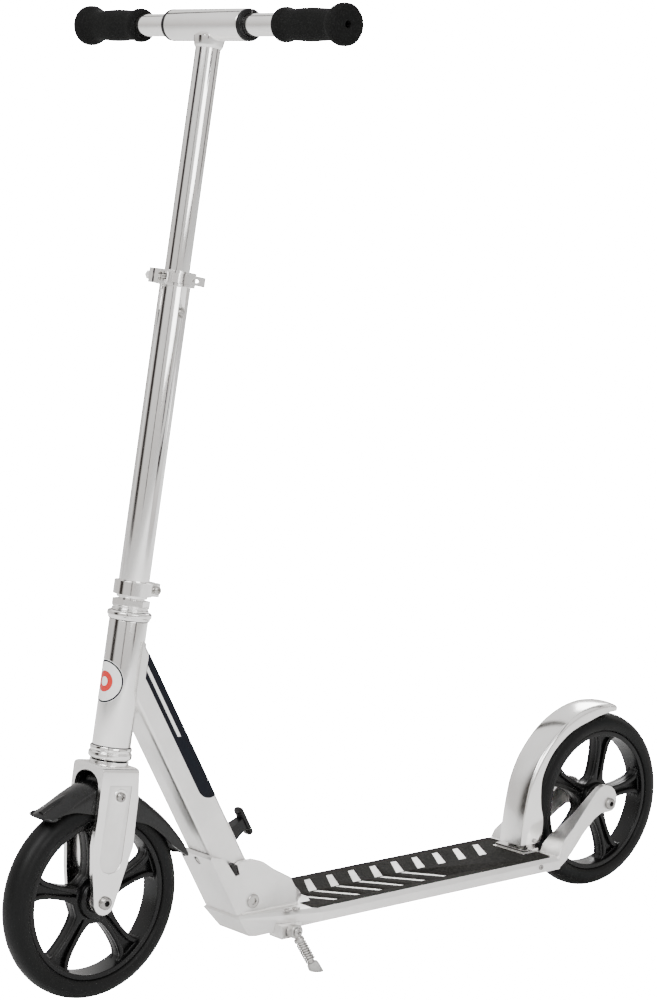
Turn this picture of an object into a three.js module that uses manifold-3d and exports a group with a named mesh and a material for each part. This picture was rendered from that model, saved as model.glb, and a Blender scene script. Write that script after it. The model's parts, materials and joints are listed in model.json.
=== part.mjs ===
// Folding kick scooter with two large wheels, a telescoping T-handlebar, a sprung
// rear fender brake and a side kickstand.
//
// Millimetres. +X is the direction of travel, +Y the rider's left, +Z up.
// The origin lies on the ground, midway between the two wheels.

import * as THREE from 'three';
import { mergeVertices } from 'three/addons/utils/BufferGeometryUtils.js';
import { ConvexGeometry } from 'three/addons/geometries/ConvexGeometry.js';
import Module from 'manifold-3d';

const wasm = await Module();
wasm.setup();

// ---------------------------------------------------------------- driving dimensions

const WHEELBASE = 704;
const WHEEL_R = 100;
const TYRE_HALF_WIDTH = 15;
const HUB_R = 19;
const BEARING_R = 11;
const BEARING_WIDTH = 7;
const AXLE_R = 4;
const SPOKES = 5;
const SPOKE_HALF_DEPTH = 8;
const FRONT_SPOKE_ANGLE = 17;
const REAR_SPOKE_ANGLE = 29;

const RAKE = THREE.MathUtils.degToRad(8.45);
const FORK_WALL = 5.2;
const HEAD_TUBE_LENGTH = 124.4;
const HEAD_TUBE_WALL = 2.6;
const CUP_HEIGHT = 12.4;
const UPPER_CUP_HEIGHT = 8.3;

const LOWER_TUBE_R = 15.3;
const LOWER_TUBE_WALL = 2.6;
const COLLAR_HEIGHT = 13.7;
const CLAMP_BOTTOM = 603;
const CLAMP_HEIGHT = 14.3;
const UPPER_TUBE_WALL = 1.8;
const HANDLEBAR_HEIGHT = 857;
const BAR_R = 11.1;
const BAR_WALL = 1.8;
const SLEEVE_HALF = 56;
const HANDLEBAR_HALF = 201.8;
const GRIP_LENGTH = 94;

const DOWNTUBE_HALF = 18.5;
const DOWNTUBE_WALL = 2.6;
const DOWNTUBE_CORNER = 3.5;
const PIVOT_SETBACK = 185.5;
const PIVOT_LIFT = 12.5;
const PIVOT_R = 4;
const LUG_R = 11.2;
const LOCK_PIN_R = 3.5;
const LOCK_PIN_AT = 63.8;
const KNOB_HALF_WIDTH = 7;
const KNOB_ROOM = KNOB_HALF_WIDTH + 1.5;

const DECK_TOP = 59;
const DECK_BOTTOM = 45.5;
const DECK_HALF_WIDTH = 56;
const DECK_WALL = 3;
const TAPE_THICKNESS = 0.6;
const TAPE_BARS = 9;
const TAPE_STRIPES = 6;
const FENDER_WALL = 2.9;
const FENDER_PIN_R = 2.5;
const SCREW_R = 2.4;
const SKEWER_R = 2.6;

const GAP = 0.3;
const RUNNING = 0.1;

// ---------------------------------------------------------------- sizes that follow

const TYRE_TREAD_HALF = TYRE_HALF_WIDTH / 3;
const RIM_R = WHEEL_R - 20;
const WINDOW_R = RIM_R - 5.2;
const RIM_HALF_WIDTH = TYRE_HALF_WIDTH - 2.8;
const HUB_HALF_WIDTH = TYRE_HALF_WIDTH - 1;

const FORK_HALF_WIDTH = TYRE_HALF_WIDTH + 9.5;
const FORK_INSIDE = FORK_HALF_WIDTH - FORK_WALL;
const CROWN_TOP = WHEEL_R + 33.5;
const STEERER_R = LOWER_TUBE_R - LOWER_TUBE_WALL - 0.2;
const HEAD_TUBE_R = STEERER_R + 6.7;
const HEAD_TUBE_BOTTOM = CROWN_TOP + 17.5;
const HEAD_TUBE_TOP = HEAD_TUBE_BOTTOM + HEAD_TUBE_LENGTH;
const CUP_R = HEAD_TUBE_R + 2.4;
const STEERER_TOP = HEAD_TUBE_TOP + 56.6;

const LOWER_TUBE_BOTTOM = HEAD_TUBE_TOP + 21.6;
const COLLAR_BOTTOM = HEAD_TUBE_TOP + 24.3;
const RING_R = LOWER_TUBE_R + 3.9;
const SKEWER_X = LOWER_TUBE_R + 7.2;
const COLLAR_SCREW_X = -SKEWER_X;
const EYE_Y = 14;
const BUTTON_HEIGHT = CLAMP_BOTTOM - 25;
const UPPER_TUBE_R = LOWER_TUBE_R - LOWER_TUBE_WALL - 0.3;
const UPPER_TUBE_BOTTOM = CLAMP_BOTTOM - 68;
const SLEEVE_R = BAR_R + 4.5;

const CHEEK_INSIDE = DOWNTUBE_HALF + 0.9;
const CHEEK_OUTSIDE = CHEEK_INSIDE + 6.6;
const DOWNTUBE_JOINT = HEAD_TUBE_BOTTOM + 88;
const ARM_INSIDE = TYRE_HALF_WIDTH + 9.3;
const ARM_OUTSIDE = ARM_INSIDE + 7;
const FENDER_HALF_WIDTH = TYRE_HALF_WIDTH + 4.2;
const TAPE_HALF_WIDTH = DECK_HALF_WIDTH - 5.5;

const REAR_X = -WHEELBASE / 2;
const FRONT_X = WHEELBASE / 2;
const PIVOT_X = FRONT_X - PIVOT_SETBACK;
const PIVOT_Z = DECK_TOP + PIVOT_LIFT;
const DECK_REAR = REAR_X + WHEEL_R + 2;
const NOSE_START = PIVOT_X - 71.5;
const TAPE_BAR_PITCH = (NOSE_START - DECK_REAR) / 11.13;

// ---------------------------------------------------------------- materials

const look = (color, roughness, metalness) => ({ color, roughness, metalness });
const CHROME = look(0xdfe1e4, 0.12, 1);
const SATIN = look(0xcfd2d4, 0.38, 0.9);
const POLISHED = look(0xd9dbdd, 0.2, 1);
const STEEL = look(0xb4b7bb, 0.3, 1);
const BLACK_PLASTIC = look(0x1a1a1b, 0.42, 0);
const TYRE_BLACK = look(0x151516, 0.6, 0);
const FOAM_BLACK = look(0x202022, 0.95, 0);
const TAPE_GREY = look(0x3b3a39, 0.95, 0);
const RUBBER = look(0xbfc3bf, 0.8, 0);

const scooter = new THREE.Group();
scooter.name = 'kick_scooter';

// The front axle's frame: local x forward, y left, z up the steering axis.
const steering = new THREE.Group();
steering.position.set(FRONT_X, 0, WHEEL_R);
steering.rotation.y = -RAKE;
scooter.add(steering);

// The downtube's frame: origin on the fold pivot, local z up the tube towards the head
// tube, local x square to it and forward.
const jointX = FRONT_X - DOWNTUBE_JOINT * Math.sin(RAKE);
const jointZ = WHEEL_R + DOWNTUBE_JOINT * Math.cos(RAKE);
const tubeFrame = new THREE.Group();
tubeFrame.position.set(PIVOT_X, 0, PIVOT_Z);
tubeFrame.rotation.y = Math.atan2(jointX - PIVOT_X, jointZ - PIVOT_Z);
scooter.add(tubeFrame);
const TUBE_LENGTH = Math.hypot(jointX - PIVOT_X, jointZ - PIVOT_Z);

// Upright frames on the two axles.
const rearAxle = new THREE.Group();
rearAxle.position.set(REAR_X, 0, WHEEL_R);
scooter.add(rearAxle);
const frontAxle = new THREE.Group();
frontAxle.position.set(FRONT_X, 0, WHEEL_R);
scooter.add(frontAxle);

scooter.updateMatrixWorld(true);

function addPart(frame, name, geometry, style) {
  const mesh = new THREE.Mesh(geometry, new THREE.MeshStandardMaterial(style));
  mesh.name = name;
  frame.add(mesh);
  return mesh;
}

// ---------------------------------------------------------------- solids and booleans

function solidOf(geometry) {
  const bare = geometry.clone();
  bare.deleteAttribute('normal');
  bare.deleteAttribute('uv');
  const merged = mergeVertices(bare, 1e-4);
  return new wasm.Manifold(
    new wasm.Mesh({
      numProp: 3,
      vertProperties: new Float32Array(merged.attributes.position.array),
      triVerts: new Uint32Array(merged.index.array),
    }),
  );
}

function geometryOf(solid) {
  const mesh = solid.getMesh();
  const geometry = new THREE.BufferGeometry();
  geometry.setAttribute('position', new THREE.BufferAttribute(mesh.vertProperties, 3));
  geometry.setIndex(new THREE.BufferAttribute(mesh.triVerts, 1));
  geometry.computeVertexNormals();
  return geometry;
}

function join(first, ...others) {
  return geometryOf(others.reduce((sum, other) => sum.add(solidOf(other)), solidOf(first)));
}

function cut(first, ...tools) {
  return geometryOf(tools.reduce((rest, tool) => rest.subtract(solidOf(tool)), solidOf(first)));
}

function overlap(first, second) {
  return geometryOf(solidOf(first).intersect(solidOf(second)));
}

// A geometry given in one group's frame, restated in another group's frame.
function restate(geometry, from, to) {
  const change = to.matrixWorld.clone().invert().multiply(from.matrixWorld);
  return geometry.clone().applyMatrix4(change);
}

// ---------------------------------------------------------------- shape helpers

function outline(points) {
  return new THREE.Shape(points.map(([a, b]) => new THREE.Vector2(a, b)));
}

// A flat outline in the x-z plane, given thickness from y = low to y = high.
function plateXZ(shape, low, high) {
  const options = { depth: high - low, bevelEnabled: false, curveSegments: 10 };
  return new THREE.ExtrudeGeometry(shape, options).rotateX(Math.PI / 2).translate(0, high, 0);
}

function plateXY(shape, low, high) {
  const options = { depth: high - low, bevelEnabled: false, curveSegments: 10 };
  return new THREE.ExtrudeGeometry(shape, options).translate(0, 0, low);
}

// An outline in the y-z plane, run along x.
function beamX(shape, low, high) {
  const options = { depth: high - low, bevelEnabled: false, curveSegments: 8 };
  const turn = new THREE.Matrix4().makeBasis(
    new THREE.Vector3(0, 1, 0),
    new THREE.Vector3(0, 0, 1),
    new THREE.Vector3(1, 0, 0),
  );
  return new THREE.ExtrudeGeometry(shape, options).applyMatrix4(turn).translate(low, 0, 0);
}

function box(x0, x1, y0, y1, z0, z1) {
  const geometry = new THREE.BoxGeometry(x1 - x0, y1 - y0, z1 - z0);
  return geometry.translate((x0 + x1) / 2, (y0 + y1) / 2, (z0 + z1) / 2);
}

function rodY(r, y0, y1, x = 0, z = 0, sides = 16) {
  return new THREE.CylinderGeometry(r, r, y1 - y0, sides).translate(x, (y0 + y1) / 2, z);
}

function rodZ(r, z0, z1, sides = 24) {
  const geometry = new THREE.CylinderGeometry(r, r, z1 - z0, sides);
  return geometry.rotateX(Math.PI / 2).translate(0, 0, (z0 + z1) / 2);
}

function rodX(r, x0, x1, z = 0, sides = 16) {
  const geometry = new THREE.CylinderGeometry(r, r, x1 - x0, sides);
  return geometry.rotateZ(-Math.PI / 2).translate((x0 + x1) / 2, 0, z);
}

// A closed [radius, height] profile spun round the y axis, going up on its outer side.
function spinY(profile, segments = 28) {
  const closed = [...profile, profile[0]].map(([r, y]) => new THREE.Vector2(r, y));
  const geometry = new THREE.LatheGeometry(closed, segments);
  geometry.deleteAttribute('normal');
  geometry.deleteAttribute('uv');
  return mergeVertices(geometry, 1e-4);
}

function spinZ(profile, segments = 28) {
  return spinY(profile, segments).rotateX(Math.PI / 2);
}

// A ring between two radii and two heights; inner radius first.
function ring(inner, outer, low, high) {
  return [
    [inner, low],
    [outer, low],
    [outer, high],
    [inner, high],
  ];
}

function hull(points) {
  return new ConvexGeometry(points.map(([x, y, z]) => new THREE.Vector3(x, y, z)));
}

function mirrored(points) {
  return [...points, ...points.map(([x, y, z]) => [x, -y, z])];
}

function smooth(points, count) {
  const curve = new THREE.SplineCurve(points.map(([a, b]) => new THREE.Vector2(a, b)));
  return curve.getPoints(count).map((p) => [p.x, p.y]);
}

function arc(cx, cz, r, from, to, count) {
  const points = [];
  for (let i = 0; i <= count; i += 1) {
    const angle = THREE.MathUtils.degToRad(from + ((to - from) * i) / count);
    points.push([cx + r * Math.cos(angle), cz + r * Math.sin(angle)]);
  }
  return points;
}

// [degrees, radius] pairs turned into points about the origin.
function polar(pairs) {
  return pairs.map(([degrees, r]) => {
    const angle = THREE.MathUtils.degToRad(degrees);
    return [r * Math.cos(angle), r * Math.sin(angle)];
  });
}

// ---------------------------------------------------------------- wheels

function tyreGeometry() {
  const half = TYRE_HALF_WIDTH;
  const side = [
    [RIM_R + GAP, half * 0.85],
    [WHEEL_R - 13, half],
    [WHEEL_R - 5, half * 0.78],
    [WHEEL_R, TYRE_TREAD_HALF],
  ];
  const lower = side.map(([r, y]) => [r, -y]);
  return spinY([...lower, ...side.reverse()], 48);
}

// One opening between two spokes. Each spoke is slim in the middle and flares at both ends.
function spokeWindow(middle) {
  const halfPitch = 180 / SPOKES;
  const spoke = [
    [HUB_R + 7, 8.8],
    [HUB_R + 18, 7.2],
    [HUB_R + 32, 7.4],
    [WINDOW_R - 13, 8.8],
    [WINDOW_R - 5, 11.4],
    [WINDOW_R - 1, 15],
  ];
  const edge = spoke.map(([r, half]) => {
    return [halfPitch - THREE.MathUtils.radToDeg(Math.asin(half / r)), r];
  });
  const left = edge.map(([angle, r]) => [middle - angle, r]);
  const right = edge.map(([angle, r]) => [middle + angle, r]).reverse();
  const top = [-10, 0, 10].map((angle) => [middle + angle, WINDOW_R]);
  return polar([...left, ...top, ...right]);
}

function rimGeometry(phase) {
  const pitch = 360 / SPOKES;
  const disc = new THREE.Shape();
  disc.absarc(0, 0, RIM_R, 0, 2 * Math.PI, false);
  for (let i = 0; i < SPOKES; i += 1) {
    disc.holes.push(outline(spokeWindow(phase + pitch * (i + 0.5))));
  }
  const options = { depth: 2 * RIM_HALF_WIDTH, bevelEnabled: false, curveSegments: 20 };
  const flat = new THREE.ExtrudeGeometry(disc, options).rotateX(Math.PI / 2);
  const wheel = flat.translate(0, RIM_HALF_WIDTH, 0);
  const hub = rodY(HUB_R, -HUB_HALF_WIDTH, HUB_HALF_WIDTH, 0, 0, 24);
  const bore = rodY(BEARING_R + RUNNING, -HUB_HALF_WIDTH - 1, HUB_HALF_WIDTH + 1, 0, 0, 24);
  const grooves = [];
  for (let i = 0; i < SPOKES; i += 1) {
    const slot = [
      [HUB_R + 6, -1.8],
      [WINDOW_R - 4, -4.5],
      [WINDOW_R - 4, 4.5],
      [HUB_R + 6, 1.8],
    ];
    const turn = -THREE.MathUtils.degToRad(phase + pitch * i);
    const floor = SPOKE_HALF_DEPTH - 4;
    for (const [low, high] of [[floor, RIM_HALF_WIDTH], [-RIM_HALF_WIDTH, -floor]]) {
      grooves.push(plateXZ(outline(slot), low, high).rotateY(turn));
    }
  }
  const recess = ring(HUB_R + 1, WINDOW_R - 1, SPOKE_HALF_DEPTH, RIM_HALF_WIDTH + 1);
  const left = spinY(recess, 48);
  const right = left.clone().rotateX(Math.PI);
  return cut(join(wheel, hub), bore, left, right, ...grooves);
}

function addWheel(frame, prefix, phase) {
  const bearing = spinY(ring(AXLE_R + RUNNING, BEARING_R, 0, BEARING_WIDTH), 16);
  const outer = HUB_HALF_WIDTH - 0.2;
  const inner = outer - BEARING_WIDTH;
  const tube = spinY(ring(AXLE_R + RUNNING, AXLE_R + 2.2, GAP - inner, inner - GAP), 16);
  addPart(frame, `${prefix}_tyre`, tyreGeometry(), TYRE_BLACK);
  addPart(frame, `${prefix}_rim`, rimGeometry(phase), BLACK_PLASTIC);
  addPart(frame, `${prefix}_bearing_left`, bearing.clone().translate(0, inner, 0), STEEL);
  addPart(frame, `${prefix}_bearing_right`, bearing.clone().translate(0, -outer, 0), STEEL);
  addPart(frame, `${prefix}_bearing_spacer`, tube, STEEL);
}

// A bolt along y with its head on the left, and its nut on the right.
function addAxle(frame, prefix, outside) {
  const head = [outside + GAP, outside + GAP + 3.4];
  const shank = rodY(AXLE_R, -outside - 5, head[0] + 1);
  const cap = rodY(AXLE_R + 2.6, head[0], head[1], 0, 0, 16);
  const socket = rodY(2.4, head[1] - 2, head[1] + 1, 0, 0, 6);
  const nutBody = rodY(AXLE_R + 3, -outside - 4.6, -outside - GAP, 0, 0, 6);
  const nutBore = rodY(AXLE_R + RUNNING, -outside - 9, -outside + 1);
  addPart(frame, `${prefix}_axle`, cut(join(shank, cap), socket), STEEL);
  addPart(frame, `${prefix}_axle_nut`, cut(nutBody, nutBore), STEEL);
}

// ---------------------------------------------------------------- fork and mudguard

function forkSide() {
  const tip = arc(0.5, 0, 12.5, -160, -20, 6);
  return outline([
    ...tip,
    [19.3, 26.4],
    [23.9, 55.4],
    [22.9, 82],
    [23.9, CROWN_TOP - 20],
    [24, CROWN_TOP - 2],
    [22, CROWN_TOP],
    [-18, CROWN_TOP],
    [-20, CROWN_TOP - 2],
    [-23.4, CROWN_TOP - 29],
    [-24, 82],
    [-25.2, 55],
    [-18, 26],
  ]);
}

function forkFront() {
  const out = FORK_HALF_WIDTH;
  const inn = FORK_INSIDE;
  const shoulder = arc(out - 5, CROWN_TOP - 5, 5, 0, 90, 4);
  const arch = arc(0, CROWN_TOP - 21, 1, 0, 90, 5).map(([c, s]) => [
    c * inn,
    CROWN_TOP - 21 + (s - CROWN_TOP + 21) * 14,
  ]);
  const right = [[out, -15], ...shoulder];
  const left = right.map(([y, z]) => [-y, z]).reverse();
  const archLeft = arch.slice(0, -1).map(([y, z]) => [-y, z]);
  return outline([...right, ...left, [-inn, -15], ...archLeft, ...arch.reverse(), [inn, -15]]);
}

const MUDGUARD_BOLT = [-1.5, WHEEL_R + 4.5];

function forkGeometry() {
  const wide = FORK_HALF_WIDTH + 1;
  const blank = overlap(beamX(forkFront(), -60, 60), plateXZ(forkSide(), -wide, wide));
  const boss = [1, -1].map((side) => {
    const [a, b] = [side * (FORK_INSIDE + 0.5), side * (HUB_HALF_WIDTH + GAP)];
    return rodY(8, Math.min(a, b), Math.max(a, b), 0, 0, 16);
  });
  const race = rodZ(CUP_R - 2, CROWN_TOP - 1, CROWN_TOP + 3.4);
  const steerer = rodZ(STEERER_R, CROWN_TOP - 4, STEERER_TOP, 20);
  const bore = rodZ(STEERER_R - 2.6, CROWN_TOP + 8, STEERER_TOP + 1, 20);
  const axleBore = rodY(AXLE_R + RUNNING, -wide, wide);
  const [u, s] = MUDGUARD_BOLT;
  const boltBore = rodY(SCREW_R + GAP, -wide, wide, u, s, 12);
  const panel = [[-13.5, CROWN_TOP - 18], ...arc(0, 42, 13.5, 180, 360, 6), [13.5, CROWN_TOP - 18]];
  const panels = [1, -1].map((side) => {
    const [a, b] = [side * (FORK_HALF_WIDTH - 0.7), side * (FORK_HALF_WIDTH + 2)];
    return plateXZ(outline(panel), Math.min(a, b), Math.max(a, b));
  });
  const pad = [1, -1].map((side) => {
    const [a, b] = [side * (FORK_HALF_WIDTH - 1.5), side * (FORK_HALF_WIDTH - 0.1)];
    return rodY(8, Math.min(a, b), Math.max(a, b), u, s, 12);
  });
  const body = join(cut(blank, ...panels), ...boss, ...pad, race, steerer);
  return cut(body, bore, axleBore, boltBore);
}

function mudguardGeometry() {
  const top = smooth(
    polar([
      [44, WHEEL_R + 11],
      [57, WHEEL_R + 8.5],
      [75, WHEEL_R + 8.5],
      [105, WHEEL_R + 7.5],
      [127, WHEEL_R + 8.6],
      [147, WHEEL_R + 14],
      [158.5, WHEEL_R + 17.5],
    ]),
    20,
  );
  const skirt = smooth(
    polar([
      [157, WHEEL_R + 11],
      [144, WHEEL_R - 5],
      [128, WHEEL_R - 9],
      [106, WHEEL_R - 17],
      [76, WHEEL_R - 14],
      [62, WHEEL_R - 1],
      [52, WHEEL_R + 5],
      [44.5, WHEEL_R + 8],
    ]),
    18,
  );
  const half = FORK_INSIDE - GAP;
  const shell = plateXZ(outline([...top, ...skirt]), -half, half);
  const saddle = plateXZ(
    outline([
      [-17, WHEEL_R + 5],
      [21, WHEEL_R + 5],
      [19, CROWN_TOP - 11],
      [-15, CROWN_TOP - 11],
    ]),
    -13,
    13,
  );
  const hollow = rodY(WHEEL_R + 4.6, -half + 2.5, half - 2.5, 0, 0, 60);
  const [u, s] = MUDGUARD_BOLT;
  const hole = rodY(SCREW_R + 2 * RUNNING, -half - 1, half + 1, u, s, 12);
  const plan = outline([
    ...arc(0, 0, 1, -90, 90, 8).map(([a, b]) => [56 + a * 24, b * (half + 1)]),
    ...arc(0, 0, 1, 90, 270, 8).map(([a, b]) => [-92 + a * 19, b * (half + 1)]),
  ]);
  const trimmed = overlap(shell, plateXY(plan, 0, 160));
  return cut(join(trimmed, saddle), hollow, hole);
}

function addMudguardBolts() {
  const [u, s] = MUDGUARD_BOLT;
  for (const [name, side] of [['left', 1], ['right', -1]]) {
    const start = FORK_INSIDE - 2;
    const seat = FORK_HALF_WIDTH + GAP;
    const shank = rodY(SCREW_R, start, seat + 0.5, 0, 0, 12);
    const head = rodY(4.8, seat, seat + 2.4, 0, 0, 16);
    const socket = rodY(1.8, seat + 1, seat + 3, 0, 0, 6);
    const bolt = cut(join(shank, head), socket);
    const turned = side > 0 ? bolt : bolt.rotateZ(Math.PI);
    addPart(steering, `mudguard_bolt_${name}`, turned.translate(u, 0, s), STEEL);
  }
}

// ---------------------------------------------------------------- headset

const LOWER_CUP_BOTTOM = HEAD_TUBE_BOTTOM - CUP_HEIGHT;
const UPPER_CUP_TOP = HEAD_TUBE_TOP + UPPER_CUP_HEIGHT;

function headTubeGeometry() {
  const inner = HEAD_TUBE_R - HEAD_TUBE_WALL;
  return spinZ(ring(inner, HEAD_TUBE_R, HEAD_TUBE_BOTTOM, HEAD_TUBE_TOP), 32);
}

// A pressed cup: a flanged ring outside the head tube and a sleeve inside it.
function cupProfile(rim, flangeLow, flangeHigh, sleeveEnd) {
  const sleeve = HEAD_TUBE_R - HEAD_TUBE_WALL - GAP;
  const bore = STEERER_R + 3.1;
  if (sleeveEnd > flangeHigh) {
    return [
      [bore, flangeLow],
      [rim - 1.6, flangeLow],
      [rim, flangeLow + 2],
      [rim, flangeHigh - 3],
      [HEAD_TUBE_R, flangeHigh],
      [sleeve, flangeHigh],
      [sleeve, sleeveEnd],
      [bore, sleeveEnd],
    ];
  }
  return [
    [bore, sleeveEnd],
    [sleeve, sleeveEnd],
    [sleeve, flangeLow],
    [HEAD_TUBE_R, flangeLow],
    [rim, flangeLow + 2],
    [rim, flangeHigh - 1.5],
    [rim - 1.5, flangeHigh],
    [bore, flangeHigh],
  ];
}

function addHeadset() {
  const lowTop = HEAD_TUBE_BOTTOM - GAP;
  const highLow = HEAD_TUBE_TOP + GAP;
  const lowerCup = cupProfile(CUP_R, LOWER_CUP_BOTTOM, lowTop, lowTop + 8);
  const upperCup = cupProfile(CUP_R + 0.4, highLow, UPPER_CUP_TOP, highLow - 7);
  const race = ring(STEERER_R + 2 * RUNNING, STEERER_R + 2.8, 0, 6);
  addPart(steering, 'head_tube', headTubeGeometry(), SATIN);
  addPart(steering, 'lower_cup', spinZ(lowerCup, 24), POLISHED);
  addPart(steering, 'upper_cup', spinZ(upperCup, 24), POLISHED);
  const lowerBearing = spinZ(race, 20).translate(0, 0, LOWER_CUP_BOTTOM + 1);
  const upperBearing = spinZ(race, 20).translate(0, 0, UPPER_CUP_TOP - 7);
  addPart(steering, 'lower_bearing', lowerBearing, STEEL);
  addPart(steering, 'upper_bearing', upperBearing, STEEL);
  const adjusterLow = UPPER_CUP_TOP + GAP;
  const adjuster = spinZ(ring(STEERER_R + 0.2, STEERER_R + 5.9, adjusterLow, adjusterLow + 5.4), 20);
  const nutLow = adjusterLow + 5.4 + GAP;
  const nutBlank = rodZ(STEERER_R + 6.3, nutLow, nutLow + 5.6, 6);
  const nut = cut(nutBlank, rodZ(STEERER_R + 0.2, nutLow - 1, nutLow + 7));
  addPart(steering, 'adjusting_nut', adjuster, CHROME);
  addPart(steering, 'lock_nut', nut, CHROME);
}

// ---------------------------------------------------------------- steering column

// A split ring with two ears, its slit opening along +x or -x.
function splitRing(low, height, direction, earReach) {
  const barrel = rodZ(RING_R, low, low + height, 28);
  const ears = box(LOWER_TUBE_R - 3.3, RING_R + earReach, -7.5, 7.5, low, low + height);
  const bore = rodZ(LOWER_TUBE_R + GAP, low - 1, low + height + 1, 28);
  const end = RING_R + earReach + 1;
  const slit = box(LOWER_TUBE_R - 5.3, end, -1.3, 1.3, low - 1, low + height + 1);
  const body = cut(join(barrel, ears), bore, slit);
  return direction > 0 ? body : body.rotateZ(Math.PI);
}

function addCollar() {
  const middle = COLLAR_BOTTOM + COLLAR_HEIGHT / 2;
  const ringBody = splitRing(COLLAR_BOTTOM, COLLAR_HEIGHT, -1, 8.3);
  const hole = rodY(SCREW_R + GAP, -20, 20, COLLAR_SCREW_X, middle, 12);
  addPart(steering, 'clamp_collar', cut(ringBody, hole), CHROME);
  const shank = rodY(SCREW_R, -9, 8, COLLAR_SCREW_X, middle, 12);
  const head = rodY(4.2, 7.8, 12, COLLAR_SCREW_X, middle, 16);
  const socket = rodY(2, 10, 13, COLLAR_SCREW_X, middle, 6);
  addPart(steering, 'clamp_screw', cut(join(shank, head), socket), STEEL);
}

function lowerTubeGeometry() {
  const top = CLAMP_BOTTOM + CLAMP_HEIGHT - 4;
  const tube = spinZ(
    ring(LOWER_TUBE_R - LOWER_TUBE_WALL, LOWER_TUBE_R, LOWER_TUBE_BOTTOM, top),
    28,
  );
  const clampSlot = box(-20, 0, -1.3, 1.3, LOWER_TUBE_BOTTOM - 1, LOWER_TUBE_BOTTOM + 27);
  const topSlot = box(0, 20, -1.3, 1.3, BUTTON_HEIGHT, top + 1);
  const buttonHole = rodY(3.2, 0, 20, 0, BUTTON_HEIGHT, 12);
  return cut(tube, clampSlot.rotateZ(-0.5), topSlot, buttonHole);
}

function addButton() {
  const stem = rodY(3.1, LOWER_TUBE_R - 1.3, LOWER_TUBE_R + 1.4, 0, BUTTON_HEIGHT, 12);
  const dome = rodY(2.3, LOWER_TUBE_R + 1, LOWER_TUBE_R + 2.2, 0, BUTTON_HEIGHT, 12);
  addPart(steering, 'height_button', join(stem, dome), STEEL);
}

function addQuickRelease() {
  const middle = CLAMP_BOTTOM + CLAMP_HEIGHT / 2;
  const hole = rodY(SKEWER_R + GAP, -20, 20, SKEWER_X, middle, 12);
  const body = splitRing(CLAMP_BOTTOM, CLAMP_HEIGHT, 1, 8.8);
  addPart(steering, 'quick_release_clamp', cut(body, hole), CHROME);
  const skewer = rodY(SKEWER_R, -14.5, EYE_Y + 0.5, SKEWER_X, middle, 12);
  addPart(steering, 'quick_release_skewer', skewer, STEEL);
  const nut = spinY(ring(SKEWER_R + RUNNING, 4.8, -15, -7.8), 12);
  addPart(steering, 'quick_release_nut', nut.translate(SKEWER_X, 0, middle), CHROME);
  addPart(steering, 'quick_release_lever', leverGeometry(middle), CHROME);
}

// A cam eye round the skewer's end and a strap that follows the clamp round to the back.
// The slot in the eye lets the lever swing out without touching the skewer.
function leverGeometry(middle) {
  const near = LOWER_TUBE_R + 5.2;
  const thick = 2.6;
  const half = 4.6;
  const inside = [
    [SKEWER_X - 3, near - 6],
    [12, near - 0.6],
    [2, near + 1.2],
    [-10, near - 1],
    [-20, near - 6.5],
    [-29, near - 13],
  ];
  const path = smooth(inside, 12);
  const back = path.map(([x, y]) => [x + thick * 0.25, y + thick]).reverse();
  const strap = plateXY(outline([...path, ...back]), middle - half, middle + half);
  const slot = rodY(1, 0, 40, 0, 0, 12).scale(7, 1, 1.9).translate(-7, 0, middle);
  const eye = rodZ(5.4, middle - half, middle + half, 20).translate(SKEWER_X, EYE_Y, 0);
  const room = SKEWER_R + GAP;
  const swing = [-90, -53, -17, 20].map((angle) => {
    const path = box(-1, 12, -room, room, middle - room, middle + room);
    return path.rotateZ(THREE.MathUtils.degToRad(angle)).translate(SKEWER_X, EYE_Y, 0);
  });
  return cut(join(cut(strap, slot), eye), ...swing);
}

// ---------------------------------------------------------------- handlebar

function handleStemGeometry() {
  const axis = HANDLEBAR_HEIGHT;
  const tube = rodZ(UPPER_TUBE_R, UPPER_TUBE_BOTTOM, axis, 28);
  const collar = spinZ(
    [
      [0.001, axis - SLEEVE_R - 5],
      [UPPER_TUBE_R + 0.2, axis - SLEEVE_R - 5],
      [UPPER_TUBE_R + 2.4, axis - SLEEVE_R + 1],
      [0.001, axis - SLEEVE_R + 1],
    ],
    28,
  );
  const sleeve = rodY(SLEEVE_R, -SLEEVE_HALF, SLEEVE_HALF, 0, axis, 28);
  const bore = rodZ(UPPER_TUBE_R - UPPER_TUBE_WALL, UPPER_TUBE_BOTTOM - 1, axis, 20);
  const sleeveBore = rodY(BAR_R + 0.4, -SLEEVE_HALF - 1, SLEEVE_HALF + 1, 0, axis, 24);
  return cut(join(tube, collar, sleeve), bore, sleeveBore);
}

function gripProfile() {
  const end = HANDLEBAR_HALF;
  const start = end - GRIP_LENGTH;
  const inside = BAR_R + GAP;
  const barEnd = end - 5.5;
  return [
    [inside, start],
    [15.2, start],
    [16.6, start + 1.6],
    [16.6, start + 7],
    [14.7, start + 12],
    [15.9, start + 38],
    [14.6, start + 74],
    [19.9, start + 84],
    [19.9, end - 4],
    [17, end],
    [3.5, end],
    [3.5, barEnd + GAP],
    [inside, barEnd + GAP],
  ];
}

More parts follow.
